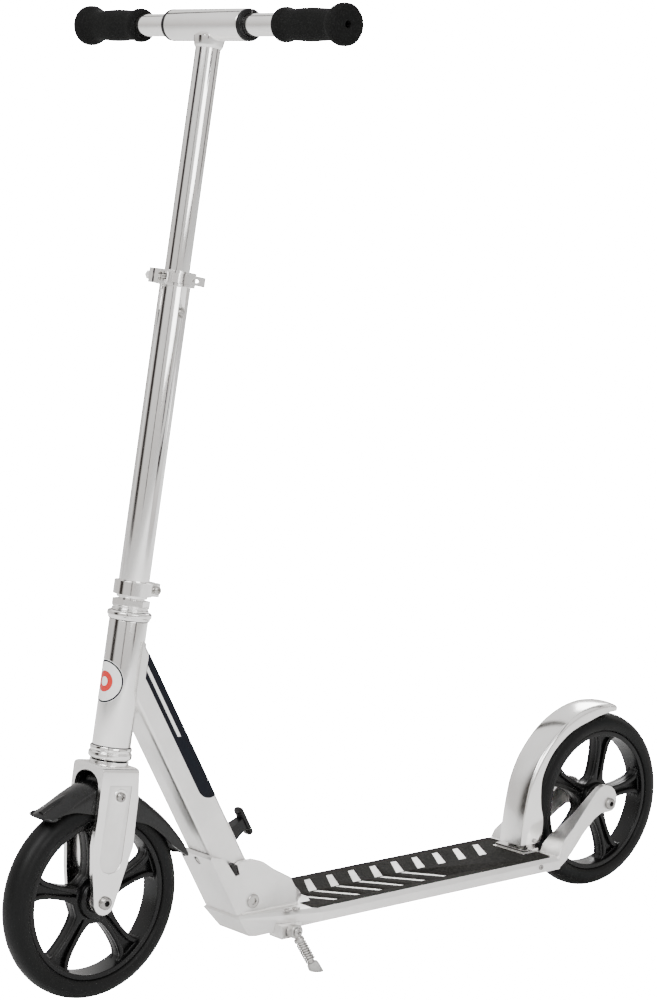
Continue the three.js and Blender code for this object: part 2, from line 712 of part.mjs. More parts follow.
function addHandlebar() {
  const axis = HANDLEBAR_HEIGHT;
  addPart(steering, 'handle_stem', handleStemGeometry(), CHROME);
  for (const [name, side] of [['left', 1], ['right', -1]]) {
    const place = (geometry) => {
      const turned = side > 0 ? geometry : geometry.rotateZ(Math.PI);
      return turned.translate(0, 0, axis);
    };
    const bar = spinY(ring(BAR_R - BAR_WALL, BAR_R, 20, HANDLEBAR_HALF - 5.5), 24);
    const low = SLEEVE_HALF + GAP;
    const cap = spinY(
      [
        [BAR_R + 0.2, low],
        [SLEEVE_R, low],
        [SLEEVE_R, low + 3],
        [SLEEVE_R - 2, low + 4.4],
        [BAR_R + 0.2, low + 4.4],
      ],
      20,
    );
    addPart(steering, `${name}_handlebar`, place(bar), CHROME);
    addPart(steering, `${name}_grip`, place(spinY(gripProfile(), 24)), FOAM_BLACK);
    addPart(steering, `${name}_sleeve_ring`, place(cap), BLACK_PLASTIC);
  }
}

// ---------------------------------------------------------------- downtube and lock

function roundedSquare(half, corner) {
  const c = half - corner;
  return outline([
    ...arc(c, c, corner, 0, 90, 2),
    ...arc(-c, c, corner, 90, 180, 2),
    ...arc(-c, -c, corner, 180, 270, 2),
    ...arc(c, -c, corner, 270, 360, 2),
  ]);
}

function downtubeGeometry() {
  const half = DOWNTUBE_HALF;
  const top = TUBE_LENGTH + 45;
  const square = plateXY(roundedSquare(half, DOWNTUBE_CORNER), -LUG_R - 1, top);
  const shoulder = LUG_R + 2;
  const side = outline([
    ...arc(0, 0, LUG_R, 180, 360, 8),
    [half + 1, shoulder],
    [half + 1, top + 1],
    [-half - 1, top + 1],
    [-half - 1, shoulder],
  ]);
  const blank = overlap(square, plateXZ(side, -half - 1, half + 1));
  const inner = half - DOWNTUBE_WALL;
  const bore = plateXY(roundedSquare(inner, 1.5), shoulder + 4, top + 1);
  const head = rodZ(HEAD_TUBE_R + GAP, HEAD_TUBE_BOTTOM - 60, HEAD_TUBE_TOP + 60, 32);
  const ahead = box(0, 300, -60, 60, HEAD_TUBE_BOTTOM - 60, HEAD_TUBE_TOP + 60);
  const headCut = restate(head, steering, tubeFrame);
  const aheadCut = restate(ahead, steering, tubeFrame);
  const pivotBore = rodY(PIVOT_R + RUNNING, -half - 1, half + 1);
  const pinBore = rodX(LOCK_PIN_R + 0.5, -half - 5, half + 5, LOCK_PIN_AT);
  return cut(blank, bore, headCut, aheadCut, pivotBore, pinBore);
}

function addLock() {
  const back = -DOWNTUBE_HALF;
  const pin = rodX(LOCK_PIN_R, back - 20.4, DOWNTUBE_HALF + 4, LOCK_PIN_AT);
  const flange = rodX(5.4, -3, -1, LOCK_PIN_AT);
  addPart(tubeFrame, 'lock_pin', join(pin, flange), STEEL);
  const coil = spinY(ring(LOCK_PIN_R + 0.4, LOCK_PIN_R + 1.6, 0, 12), 16);
  const coilX = back + DOWNTUBE_WALL + GAP;
  const placed = coil.rotateZ(-Math.PI / 2).translate(coilX, 0, LOCK_PIN_AT);
  addPart(tubeFrame, 'lock_spring', placed, STEEL);
  addPart(tubeFrame, 'release_knob', knobGeometry(), BLACK_PLASTIC);
}

function knobGeometry() {
  const face = -DOWNTUBE_HALF - GAP;
  const neck = face - 22;
  const stem = mirrored([
    [face, KNOB_HALF_WIDTH, LOCK_PIN_AT - 8.2],
    [face, KNOB_HALF_WIDTH, LOCK_PIN_AT + 8.2],
    [neck, KNOB_HALF_WIDTH - 2, LOCK_PIN_AT - 6],
    [neck, KNOB_HALF_WIDTH - 2, LOCK_PIN_AT + 6],
  ]);
  const bar = [];
  for (const end of [-1, 1]) {
    for (let i = 0; i < 8; i += 1) {
      const angle = (i * Math.PI) / 4 + Math.PI / 8;
      const [a, b] = [Math.cos(angle), Math.sin(angle)];
      bar.push([neck - 3 + 4.4 * a, 6.4 * b, LOCK_PIN_AT + end * 14]);
      bar.push([neck - 3 + 2.6 * a, 4.2 * b, LOCK_PIN_AT + end * 16.5]);
    }
  }
  const bore = rodX(LOCK_PIN_R + RUNNING, face - 20.4, face + 5, LOCK_PIN_AT);
  return cut(join(hull(stem), hull(bar)), bore);
}

// ---------------------------------------------------------------- deck

// The tapered, deepening front of the deck; grow leaves room round it.
function noseHull(grow = 0) {
  const front = PIVOT_X + 20;
  return hull(
    mirrored([
      [NOSE_START - grow, DECK_HALF_WIDTH + grow, DECK_BOTTOM - grow],
      [NOSE_START - grow, DECK_HALF_WIDTH + grow, DECK_TOP - 4 + grow],
      [NOSE_START - grow, DECK_HALF_WIDTH - 5 + grow, DECK_TOP + grow],
      [front + grow, CHEEK_OUTSIDE + 3 + grow, DECK_TOP - 3],
      [front - 3 + grow, CHEEK_OUTSIDE + 1 + grow, DECK_TOP + grow],
      [front - 18 + grow, CHEEK_OUTSIDE - 2 + grow, DECK_BOTTOM - 11.5 - grow],
      [front - 23 + grow, CHEEK_OUTSIDE + 3 + grow, DECK_BOTTOM - 11 - grow],
    ]),
  );
}

function deckProfile() {
  const w = DECK_HALF_WIDTH;
  const inner = w - DECK_WALL;
  const ceiling = DECK_TOP - DECK_WALL;
  const rib = 20;
  const foot = DECK_BOTTOM + 1;
  const half = [
    [w - 5, DECK_TOP],
    [w, DECK_TOP - 4],
    [w, DECK_BOTTOM],
    [inner, DECK_BOTTOM],
    [inner, ceiling - 2],
    [inner - 2, ceiling],
    [rib + 1.5, ceiling],
    [rib + 1.5, foot],
    [rib - 1.5, foot],
    [rib - 1.5, ceiling],
  ];
  return outline([...half, ...half.map(([y, z]) => [-y, z]).reverse()]);
}

function deckGeometry() {
  const plank = beamX(deckProfile(), DECK_REAR, NOSE_START + 1);
  return join(plank, noseHull());
}

// The tape leaves the deck bare in a row of slanting bars and in thin stripes beside them.
function gripTapeGeometry() {
  const low = DECK_TOP + GAP;
  const high = low + TAPE_THICKNESS;
  const w = TAPE_HALF_WIDTH;
  const front = NOSE_START + 9;
  const rear = DECK_REAR + 7;
  const bare = FENDER_HALF_WIDTH + 6;
  const sheet = outline([
    [rear, w - 4],
    [rear + 4, w],
    [front - 4, w],
    [front, w - 4],
    [front, 27],
    [front - 14, 27],
    [front - 23, 12],
    [front - 23, -12],
    [front - 14, -27],
    [front, -27],
    [front, -w + 4],
    [front - 4, -w],
    [rear + 4, -w],
    [rear, -w + 4],
    [rear, -bare],
    [rear + 20, -bare],
    [rear + 20, bare],
    [rear, bare],
  ]);
  const slots = [];
  for (let i = 0; i < TAPE_BARS; i += 1) {
    const x = front - 37.5 - i * TAPE_BAR_PITCH;
    const slot = outline([
      [x - 31, -37],
      [x - 22.5, -37],
      [x + 2.5, 0.5],
      [x - 9, 0.5],
    ]);
    slots.push(plateXY(slot, low - 1, high + 1));
  }
  for (let i = 0; i < TAPE_STRIPES; i += 1) {
    const x = front - 8.5 - i * TAPE_BAR_PITCH;
    const stripe = outline([
      [x, 2],
      [x - 5, 2],
      [x - 33, 39],
      [x - 29, 39],
    ]);
    slots.push(plateXY(stripe, low - 1, high + 1));
  }
  return cut(plateXY(sheet, low, high), ...slots);
}

// A point given in the downtube's frame, restated as [x, z] in the scooter's frame.
function fromTube(across, along) {
  const point = new THREE.Vector3(across, 0, along).applyMatrix4(tubeFrame.matrixWorld);
  return [point.x, point.z];
}

function foldBracketGeometry() {
  const floor = DECK_TOP + GAP;
  const wallIn = DOWNTUBE_HALF + 0.8;
  const wallOut = wallIn + 4;
  const [px, pz] = [PIVOT_X, PIVOT_Z];
  const cheek = outline([
    [px + 17, floor],
    fromTube(wallOut, 72),
    fromTube(wallOut - 2, 73.5),
    fromTube(11, 64),
    fromTube(8.2, 60),
    fromTube(5.6, 37),
    fromTube(0.4, 35),
    fromTube(-1.6, 45),
    fromTube(-8, 44.5),
    fromTube(-22, 37),
    [px - 13, pz + 39],
    [px - 27, pz + 29.5],
    [px - 41, pz + 22],
    [px - 50, pz + 17],
    [px - 57, pz + 5],
    [px - 61, floor],
  ]);
  const cheeks = [
    plateXZ(cheek, CHEEK_INSIDE, CHEEK_OUTSIDE),
    plateXZ(cheek, -CHEEK_OUTSIDE, -CHEEK_INSIDE),
  ];
  const wall = outline([
    fromTube(wallIn, -1),
    fromTube(wallOut, -3),
    fromTube(wallOut, 72),
    fromTube(wallIn, 73.5),
  ]);
  const frontWall = plateXZ(wall, -CHEEK_OUTSIDE, CHEEK_OUTSIDE);
  const toe = hull(
    mirrored([
      [px - 50, CHEEK_OUTSIDE, floor],
      [px - 50, CHEEK_OUTSIDE, pz + 4],
      [px - 51, CHEEK_OUTSIDE - 4, pz + 13],
      [px - 57, CHEEK_OUTSIDE - 9, pz + 8],
      [px - 62, CHEEK_OUTSIDE - 4, floor],
      [px - 76, CHEEK_OUTSIDE - 14, floor],
      [px - 84, 6, floor],
      [px - 82, 4, floor + 4],
    ]),
  );
  const welds = [1, -1].map((side) =>
    hull([
      [px - 58, side * (CHEEK_OUTSIDE - 1), floor],
      [px - 58, side * (CHEEK_OUTSIDE + 4), floor],
      [px - 58, side * (CHEEK_OUTSIDE - 1), floor + 4.5],
      [px + 14, side * (CHEEK_OUTSIDE - 1), floor],
      [px + 14, side * (CHEEK_OUTSIDE + 1.2), floor],
      [px + 14, side * (CHEEK_OUTSIDE - 1), floor + 4.5],
    ]),
  );
  const below = box(px - 100, px + 60, -60, 60, floor - 30, floor);
  const knobRoom = box(px - 100, px - 40, -KNOB_ROOM, KNOB_ROOM, floor - 1, pz + 60);
  const pivotBore = rodY(PIVOT_R + RUNNING, -40, 40, px, pz);
  // The pin leaves this hole rising a little as the tube starts to turn back.
  const hole = [0, 1, 2].map((rise) => {
    const bore = rodX(LOCK_PIN_R + 0.5, wallIn - 4, wallOut + 4, LOCK_PIN_AT + rise);
    return restate(bore, tubeFrame, scooter);
  });
  const body = join(frontWall, ...cheeks, toe, ...welds);
  return cut(body, below, knobRoom, pivotBore, ...hole);
}

function addFoldPivot() {
  const seat = CHEEK_OUTSIDE + GAP;
  const shank = rodY(PIVOT_R, -seat - 4.2, seat + 0.5, PIVOT_X, PIVOT_Z);
  const head = rodY(7.4, seat, seat + 1.8, PIVOT_X, PIVOT_Z, 20);
  const socket = rodY(2.6, seat + 0.8, seat + 3, PIVOT_X, PIVOT_Z, 6);
  addPart(scooter, 'pivot_bolt', cut(join(shank, head), socket), STEEL);
  const nut = rodY(7.2, -seat - 4, -seat, PIVOT_X, PIVOT_Z, 6);
  const bore = rodY(PIVOT_R + RUNNING, -seat - 9, -seat + 1, PIVOT_X, PIVOT_Z);
  addPart(scooter, 'pivot_nut', cut(nut, bore), STEEL);
}

// ---------------------------------------------------------------- rear end

function armGeometry(side) {
  const ax = REAR_X;
  const az = WHEEL_R;
  const root = DECK_REAR - GAP;
  const top = [
    [root, DECK_TOP],
    [root - 9, DECK_TOP + 14],
    [ax + 62, az - 12],
    [ax + 33, az + 8],
    [ax + 17, az + 19.5],
    [ax + 7, az + 22],
    [ax - 4, az + 18.5],
    [ax - 11.5, az + 8.5],
    [ax - 11, az - 4.5],
    [ax - 3, az - 10],
    [ax + 14, az - 10],
    [ax + 40, az - 24],
    [ax + 64, az - 39.5],
    [root - 14, DECK_BOTTOM + 3],
    [root, DECK_BOTTOM + 0.5],
  ];
  const profile = outline(smooth(top, 24));
  const plan = outline([
    [root, ARM_INSIDE],
    [root, DECK_HALF_WIDTH - 2],
    [root - 14, DECK_HALF_WIDTH - 7],
    [root - 52, ARM_OUTSIDE + 6],
    [root - 80, ARM_OUTSIDE],
    [ax - 30, ARM_OUTSIDE],
    [ax - 30, ARM_INSIDE],
  ]);
  const edge = plateXZ(profile, ARM_INSIDE - 1, DECK_HALF_WIDTH + 1);
  const blank = overlap(edge, plateXY(plan, 0, 200));
  const boss = rodY(8, HUB_HALF_WIDTH + GAP, ARM_INSIDE + 0.5, ax, az, 16);
  const bore = rodY(AXLE_R + RUNNING, 0, 60, ax, az);
  const arm = cut(join(blank, boss), bore);
  return side > 0 ? arm : geometryOf(solidOf(arm).mirror([0, 1, 0]));
}

const FENDER_PIN_X = DECK_REAR + 4.5;
const FENDER_PIN_Z = DECK_TOP + 11;
const LUG_OUT = FENDER_HALF_WIDTH - FENDER_WALL - GAP;

// The fender's outer edge seen from the side, from the hinge up and over the wheel.
function fenderRidge() {
  const x = FENDER_PIN_X - REAR_X;
  const z = FENDER_PIN_Z - WHEEL_R;
  const stem = [
    [x + 20.5, z - 3.5],
    [x + 12.8, z + 40],
  ];
  const over = polar([
    [29, WHEEL_R + 19],
    [47.5, WHEEL_R + 16.6],
    [64, WHEEL_R + 15.6],
    [79, WHEEL_R + 15.2],
    [93, WHEEL_R + 14.2],
    [103, WHEEL_R + 12],
  ]);
  return smooth([...stem, ...over], 20);
}

function fenderGeometry() {
  const ridge = fenderRidge();
  const x = FENDER_PIN_X - REAR_X;
  const z = FENDER_PIN_Z - WHEEL_R;
  const skirt = smooth(
    [
      ...polar([
        [102, WHEEL_R + 8],
        [92, WHEEL_R + 2],
        [76, WHEEL_R - 1],
        [58, WHEEL_R + 2.5],
        [36, WHEEL_R + 5.5],
        [20, WHEEL_R + 4],
      ]),
      [x - 7.5, z + 41],
      [x - 14, z + 4],
      [x - 12, z - 3],
    ],
    18,
  );
  const half = FENDER_HALF_WIDTH;
  const shell = plateXZ(outline([...ridge, ...skirt]), -half, half);
  const inner = ridge.map(([a, b], i) => {
    const before = ridge[Math.max(i - 1, 0)];
    const after = ridge[Math.min(i + 1, ridge.length - 1)];
    const length = Math.hypot(after[0] - before[0], after[1] - before[1]);
    const [tx, tz] = [(after[0] - before[0]) / length, (after[1] - before[1]) / length];
    return [a - tz * FENDER_WALL, b + tx * FENDER_WALL];
  });
  const first = [inner[0][0] + 0.6, inner[0][1] - 8];
  const tip = inner[inner.length - 1];
  const under = [[tip[0] - 10, tip[1] - 2], [tip[0], 40], [40, 0], [x - 40, z - 12]];
  const hollow = outline([first, ...inner, ...under]);
  const room = plateXZ(hollow, -half + FENDER_WALL, half - FENDER_WALL);
  const plan = outline([
    [x + 30, half + 1],
    ...arc(0, 0, 1, 90, 270, 10).map(([a, b]) => [-8 + a * 18, b * (half + 1)]),
    [x + 30, -half - 1],
  ]);
  const trimmed = overlap(shell, plateXY(plan, -60, 160));
  const pinHole = rodY(FENDER_PIN_R + RUNNING, -40, 40, x, z, 16);
  return cut(trimmed, room, pinHole);
}

function addFender() {
  addPart(rearAxle, 'rear_fender', fenderGeometry(), POLISHED);
  const low = DECK_TOP + GAP;
  const baseHalf = FENDER_HALF_WIDTH + 3;
  const base = box(DECK_REAR + 1, DECK_REAR + 24, -baseHalf, baseHalf, low, low + 3);
  const lugShape = outline([
    [FENDER_PIN_X - 5, low],
    [FENDER_PIN_X + 7, low],
    ...arc(FENDER_PIN_X, FENDER_PIN_Z, 5, 0, 180, 8),
  ]);
  const lugs = [
    plateXZ(lugShape, LUG_OUT - 3, LUG_OUT),
    plateXZ(lugShape, -LUG_OUT, -LUG_OUT + 3),
  ];
  const bore = rodY(FENDER_PIN_R + RUNNING, -40, 40, FENDER_PIN_X, FENDER_PIN_Z, 16);
  addPart(scooter, 'fender_bracket', cut(join(base, ...lugs), bore), POLISHED);
  const reach = FENDER_HALF_WIDTH + 1.6;
  const pin = rodY(FENDER_PIN_R, -reach, reach, FENDER_PIN_X, FENDER_PIN_Z, 16);
  addPart(scooter, 'fender_pin', pin, STEEL);
  const coil = spinY(ring(FENDER_PIN_R + GAP, 4.6, -LUG_OUT + 4, LUG_OUT - 4), 20);
  addPart(scooter, 'fender_spring', coil.translate(FENDER_PIN_X, 0, FENDER_PIN_Z), STEEL);
}

// ---------------------------------------------------------------- kickstand

const STAND_X = PIVOT_X - 33;
const STAND_Y = DECK_HALF_WIDTH - 2;
const STAND_Z = DECK_BOTTOM - 4.5;
const FOOT_X = STAND_X - 18;
const FOOT_Y = STAND_Y + 15;

function addKickstand() {
  const face = STAND_Y - 4;
  const pinFrom = face - 5;
  const block = box(STAND_X - 13, STAND_X + 13, 30, face, STAND_Z - 8, STAND_Z + 6);
  const pinBore = rodY(3 + RUNNING, pinFrom - GAP, 90, STAND_X, STAND_Z);
  addPart(scooter, 'kickstand_bracket', cut(block, noseHull(GAP), pinBore), SATIN);
  const pin = join(
    rodY(3, pinFrom, STAND_Y + 6, STAND_X, STAND_Z),
    rodY(5, STAND_Y + 5.3, STAND_Y + 7.3, STAND_X, STAND_Z),
  );
  addPart(scooter, 'kickstand_pivot', pin, STEEL);

  const down = new THREE.Vector3(FOOT_X - STAND_X, FOOT_Y - STAND_Y, -STAND_Z).normalize();
  const length = STAND_Z / -down.z;
  const tilt = new THREE.Quaternion().setFromUnitVectors(new THREE.Vector3(0, 0, -1), down);
  const place = (geometry) =>
    geometry.applyQuaternion(tilt).translate(STAND_X, STAND_Y, STAND_Z);
  const hub = rodY(7.5, face + GAP, STAND_Y + 5, STAND_X, STAND_Z, 20);
  const leg = place(rodZ(3.6, -length + 4, -6.5, 12));
  const collar = place(rodZ(5.6, -12.5, -8.5, 16));
  addPart(scooter, 'kickstand_leg', cut(join(hub, leg, collar), pinBore), STEEL);
  const coil = spinZ(ring(3.6 + GAP, 6, -length + 11, -13), 16);
  addPart(scooter, 'kickstand_spring', place(coil), STEEL);
  const foot = place(rodZ(6.6, -length - 8, -length + 10, 16));
  const socket = place(rodZ(3.6 + GAP, -length + 4 - GAP, -length + 15, 16));
  const ground = box(FOOT_X - 60, FOOT_X + 60, 0, 200, -80, 0);
  addPart(scooter, 'kickstand_foot', cut(foot, socket, ground), RUBBER);
}

// ---------------------------------------------------------------- assembly

addPart(scooter, 'deck', deckGeometry(), SATIN);
addPart(scooter, 'grip_tape', gripTapeGeometry(), TAPE_GREY);
addPart(scooter, 'fold_bracket', foldBracketGeometry(), SATIN);
addFoldPivot();
addPart(scooter, 'rear_arm_left', armGeometry(1), SATIN);
addPart(scooter, 'rear_arm_right', armGeometry(-1), SATIN);
addAxle(rearAxle, 'rear', ARM_OUTSIDE);
addWheel(rearAxle, 'rear', REAR_SPOKE_ANGLE);
addFender();
addKickstand();

addPart(tubeFrame, 'downtube', downtubeGeometry(), SATIN);
addLock();
addHeadset();

addPart(steering, 'fork', forkGeometry(), CHROME);
addPart(steering, 'front_mudguard', mudguardGeometry(), BLACK_PLASTIC);
addMudguardBolts();
addAxle(steering, 'front', FORK_HALF_WIDTH);
addWheel(frontAxle, 'front', FRONT_SPOKE_ANGLE);
addCollar();
addPart(steering, 'lower_tube', lowerTubeGeometry(), CHROME);
addButton();
addQuickRelease();
addHandlebar();

export default scooter;
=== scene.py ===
# Looks for a folding kick scooter: polished tubes and fork, satin frame and deck, black
# cast wheels, foam grips and grit tape. Metres. +X forward, +Y the rider's left, +Z up.

import json
import math

import bmesh
import bpy
from mathutils import Matrix, Vector


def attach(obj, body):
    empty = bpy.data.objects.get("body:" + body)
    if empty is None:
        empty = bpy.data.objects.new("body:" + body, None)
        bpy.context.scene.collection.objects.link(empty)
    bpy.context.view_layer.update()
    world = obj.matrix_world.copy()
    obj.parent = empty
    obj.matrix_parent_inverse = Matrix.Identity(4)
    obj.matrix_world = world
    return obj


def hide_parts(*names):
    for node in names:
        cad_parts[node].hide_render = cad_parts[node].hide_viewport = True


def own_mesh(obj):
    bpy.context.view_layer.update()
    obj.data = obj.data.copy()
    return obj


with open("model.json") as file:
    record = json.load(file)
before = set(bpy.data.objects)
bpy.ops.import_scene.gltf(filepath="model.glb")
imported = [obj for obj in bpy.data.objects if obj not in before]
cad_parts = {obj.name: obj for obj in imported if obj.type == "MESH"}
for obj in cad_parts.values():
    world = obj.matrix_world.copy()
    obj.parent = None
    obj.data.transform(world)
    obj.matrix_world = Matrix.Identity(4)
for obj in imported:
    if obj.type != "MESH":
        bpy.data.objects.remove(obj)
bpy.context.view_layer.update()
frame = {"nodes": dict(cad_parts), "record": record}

# Sizes of the parts under the looks, in millimetres.
MM = 0.001
RAKE = math.radians(8.45)
WHEEL_R = 100
FRONT_X, REAR_X = 352, -352
PIVOT_X, PIVOT_Z = 166.5, 71.5
TUBE_JOINT = 239  # where the square tube's line meets the steering axis
TUBE_HALF = 18.5
HEAD_TUBE_R = 19.2
LOWER_TUBE_R = 15.3
BAR_HEIGHT = 857
BUTTON_HEIGHT = 578
FLANGE_TOP = 59.6  # top of the bracket's foot on the deck
FRONT_HEAD_AT, REAR_HEAD_AT = 24.5, 31.3  # where the axle heads sit, out from the middle

MERGE = 2e-6  # points closer than this many metres become one

# ---- frames and meshes

GROUND = Matrix.Identity(4)
LEFTWARD = Matrix.Rotation(-math.pi / 2, 4, "X")
RIGHTWARD = Matrix.Rotation(math.pi / 2, 4, "X")


def at(x, y, z, place=GROUND):
    """A local frame at a point given in millimetres."""
    return place @ Matrix.Translation((x * MM, y * MM, z * MM))


def to_left(x, y, z, place=GROUND):
    """Local z pointing to the rider's left, at a point in millimetres."""
    return at(x, y, z, place) @ LEFTWARD


def to_right(x, y, z, place=GROUND):
    return at(x, y, z, place) @ RIGHTWARD


STEERING = at(FRONT_X, 0, WHEEL_R) @ Matrix.Rotation(-RAKE, 4, "Y")
JOINT_X = FRONT_X - TUBE_JOINT * math.sin(RAKE)
JOINT_Z = WHEEL_R + TUBE_JOINT * math.cos(RAKE)
TUBE = at(PIVOT_X, 0, PIVOT_Z) @ Matrix.Rotation(
    math.atan2(JOINT_X - PIVOT_X, JOINT_Z - PIVOT_Z), 4, "Y")
FRONT_AXLE = at(FRONT_X, 0, WHEEL_R)
REAR_AXLE = at(REAR_X, 0, WHEEL_R)


def polar(angle, r):
    return (r * math.cos(math.radians(angle)), r * math.sin(math.radians(angle)))


def arc(*points):
    return [polar(a, r) for a, r in points]


def circle(r, count=120):
    return [polar(360 * i / count, r) for i in range(count)]


def tidy(bm):
    bmesh.ops.remove_doubles(bm, verts=bm.verts, dist=MERGE)
    bmesh.ops.recalc_face_normals(bm, faces=bm.faces)


def add_object(name, data):
    obj = bpy.data.objects.new(name, data)
    bpy.context.scene.collection.objects.link(obj)
    return obj


def smooth(mesh, angle):
    mesh.shade_smooth()
    mesh.set_sharp_from_angle(angle=math.radians(angle))


def from_bmesh(name, bm, place=GROUND, smooth_angle=35):
    bm.transform(place)
    tidy(bm)
    mesh = bpy.data.meshes.new(name)
    bm.to_mesh(mesh)
    bm.free()
    smooth(mesh, smooth_angle)
    return add_object(name, mesh)


def lathe(name, profile, place=GROUND, segments=96, smooth_angle=35):
    """A closed (radius, height) profile in millimetres, spun about local z."""
    bm = bmesh.new()
    rings = []
    for i in range(segments):
        a = 2 * math.pi * i / segments
        rings.append([bm.verts.new((r * MM * math.cos(a), r * MM * math.sin(a), h * MM))
                      for r, h in profile])
    for i in range(segments):
        one, two = rings[i], rings[(i + 1) % segments]
        for j in range(len(profile)):
            k = (j + 1) % len(profile)
            bm.faces.new((one[j], two[j], two[k], one[k]))
    return from_bmesh(name, bm, place, smooth_angle)


def rounded(points, radius, steps=4):
    """The closed outline with each corner turned into a short arc."""
    out = []
    count = len(points)
    for i, point in enumerate(points):
        here = Vector(point)
        before = Vector(points[i - 1]) - here
        after = Vector(points[(i + 1) % count]) - here
        reach = min(radius, before.length * 0.45, after.length * 0.45)
        start = here + before.normalized() * reach
        end = here + after.normalized() * reach
        for k in range(steps + 1):
            t = k / steps
            out.append(tuple((1 - t) ** 2 * start + 2 * t * (1 - t) * here + t * t * end))
    return out


def ring_outline(inner, outer, low, high, radius=0.6):
    return rounded([(inner, low), (outer, low), (outer, high), (inner, high)], radius, 3)


def rod(name, r, low, high, place, segments=48, soft=0.3):
    return lathe(name, rounded([(0.01, low), (r, low), (r, high), (0.01, high)], soft, 2),
                 place, segments)


def wire_along(bm, points, radius, sides=10):
    """A round wire along a list of points, its ends closed."""
    last = len(points) - 1
    side = None
    rings = []
    for i, point in enumerate(points):
        ahead = (points[min(i + 1, last)] - points[max(i - 1, 0)]).normalized()
        if side is None:
            side = ahead.orthogonal().normalized()
        side = (side - ahead * side.dot(ahead)).normalized()
        other = ahead.cross(side)
        rings.append([
            bm.verts.new(point + radius * (math.cos(a) * side + math.sin(a) * other))
            for a in (2 * math.pi * k / sides for k in range(sides))
        ])
    for one, two in zip(rings, rings[1:]):
        for k in range(sides):
            m = (k + 1) % sides
            bm.faces.new((one[k], one[m], two[m], two[k]))
    bm.faces.new(list(reversed(rings[0])))
    bm.faces.new(rings[-1])


def plain_mesh(obj):
    deps = bpy.context.evaluated_depsgraph_get()
    return bpy.data.meshes.new_from_object(obj.evaluated_get(deps), depsgraph=deps)


def apply_modifiers(obj):
    done = plain_mesh(obj)
    obj.modifiers.clear()
    old = obj.data
    obj.data = done
    bpy.data.meshes.remove(old)
    return obj


def bevel(obj, width, segments=3, angle=30):
    modifier = obj.modifiers.new("soft_edges", "BEVEL")
    modifier.width = width * MM
    modifier.segments = segments
    modifier.limit_method = "ANGLE"
    modifier.angle_limit = math.radians(angle)
    modifier.miter_outer = "MITER_ARC"
    modifier.harden_normals = True
    return apply_modifiers(obj)


def discard(obj):
    mesh = obj.data
    bpy.data.objects.remove(obj)
    bpy.data.meshes.remove(mesh)


def carve(obj, *cutters):
    for cutter in cutters:
        modifier = obj.modifiers.new("cut", "BOOLEAN")
        modifier.operation = "DIFFERENCE"
        modifier.solver = "EXACT"
        modifier.object = cutter
        apply_modifiers(obj)
        discard(cutter)
    return obj


def block(name, low, high, place=GROUND):
    bm = bmesh.new()
    bmesh.ops.create_cube(bm, size=1)
    size = Vector(high) - Vector(low)
    middle = (Vector(high) + Vector(low)) / 2
    bm.transform(Matrix.Translation(middle * MM) @ Matrix.Diagonal((*(size * MM), 1)))
    return from_bmesh(name, bm, place)


def prism(name, outline, low, high, place=GROUND):
    """A flat outline in local x-y, given thickness along local z."""
    bm = bmesh.new()
    bottom = [bm.verts.new((x * MM, y * MM, low * MM)) for x, y in outline]
    top = [bm.verts.new((x * MM, y * MM, high * MM)) for x, y in outline]
    bm.faces.new(list(reversed(bottom)))
    bm.faces.new(top)
    count = len(outline)
    for i in range(count):
        k = (i + 1) % count
        bm.faces.new((bottom[i], bottom[k], top[k], top[i]))
    return from_bmesh(name, bm, place)


def copy_of(node, width, segments=3, angle=32):
    """A merged copy of a CAD node with its hard edges eased."""
    bm = bmesh.new()
    bm.from_mesh(frame["nodes"][node].data)
    bmesh.ops.remove_doubles(bm, verts=bm.verts, dist=MERGE)
    bmesh.ops.dissolve_limit(bm, angle_limit=math.radians(1), verts=bm.verts, edges=bm.edges)
    mesh = bpy.data.meshes.new(node + "_look")
    bm.to_mesh(mesh)
    bm.free()
    obj = add_object(node + "_look", mesh)
    smooth(mesh, angle)
    if width:
        bevel(obj, width, segments, angle)
    return obj


NODE_BODY = {
    node: body
    for body, members in frame["record"]["behaviour"]["bodies"].items()
    for node in members
}
NODE_SLOT = {part["node"]: part["material_slot"] for part in frame["record"]["subparts"]}


def finish_piece(obj, material, *nodes, body=None):
    """The piece takes its material, its body and the CAD nodes that it stands for."""
    obj.data.materials.clear()
    obj.data.materials.append(material)
    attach(obj, body or NODE_BODY[nodes[0]])
    if nodes:
        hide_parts(*nodes)
    return obj


def joined(name, objects, smooth_angle, material, *nodes, body=None):
    """One finished piece from several shapes."""
    bm = bmesh.new()
    for obj in objects:
        bm.from_mesh(obj.data)
        discard(obj)
    mesh = bpy.data.meshes.new(name)
    bm.to_mesh(mesh)
    bm.free()
    smooth(mesh, smooth_angle)
    return finish_piece(add_object(name, mesh), material, *nodes, body=body)


# ---- shader groups


def feed(tree, node, **inputs):
    """Set a node's inputs to values, or link them where the value is another node's output."""
    for label, value in inputs.items():
        socket = node.inputs[label.replace("_", " ")]
        if isinstance(value, bpy.types.NodeSocket):
            tree.links.new(value, socket)
        else:
            socket.default_value = value
    return node


def add_node(tree, kind, **inputs):
    return feed(tree, tree.nodes.new(kind), **inputs)


def new_group(name, inputs, outputs):
    tree = bpy.data.node_groups.new(name, "ShaderNodeTree")
    for label, value in inputs.items():
        socket = tree.interface.new_socket(label, in_out="INPUT", socket_type="NodeSocketFloat")
        socket.default_value = value
    for label in outputs:
        tree.interface.new_socket(label, in_out="OUTPUT", socket_type="NodeSocketFloat")
    return tree, tree.nodes.new("NodeGroupInput").outputs, tree.nodes.new("NodeGroupOutput")


def math_node(tree, operation, *values):
    node = tree.nodes.new("ShaderNodeMath")
    node.operation = operation
    for socket, value in zip(node.inputs, values):
        if isinstance(value, bpy.types.NodeSocket):
            tree.links.new(value, socket)
        else:
            socket.default_value = value
    return node.outputs[0]


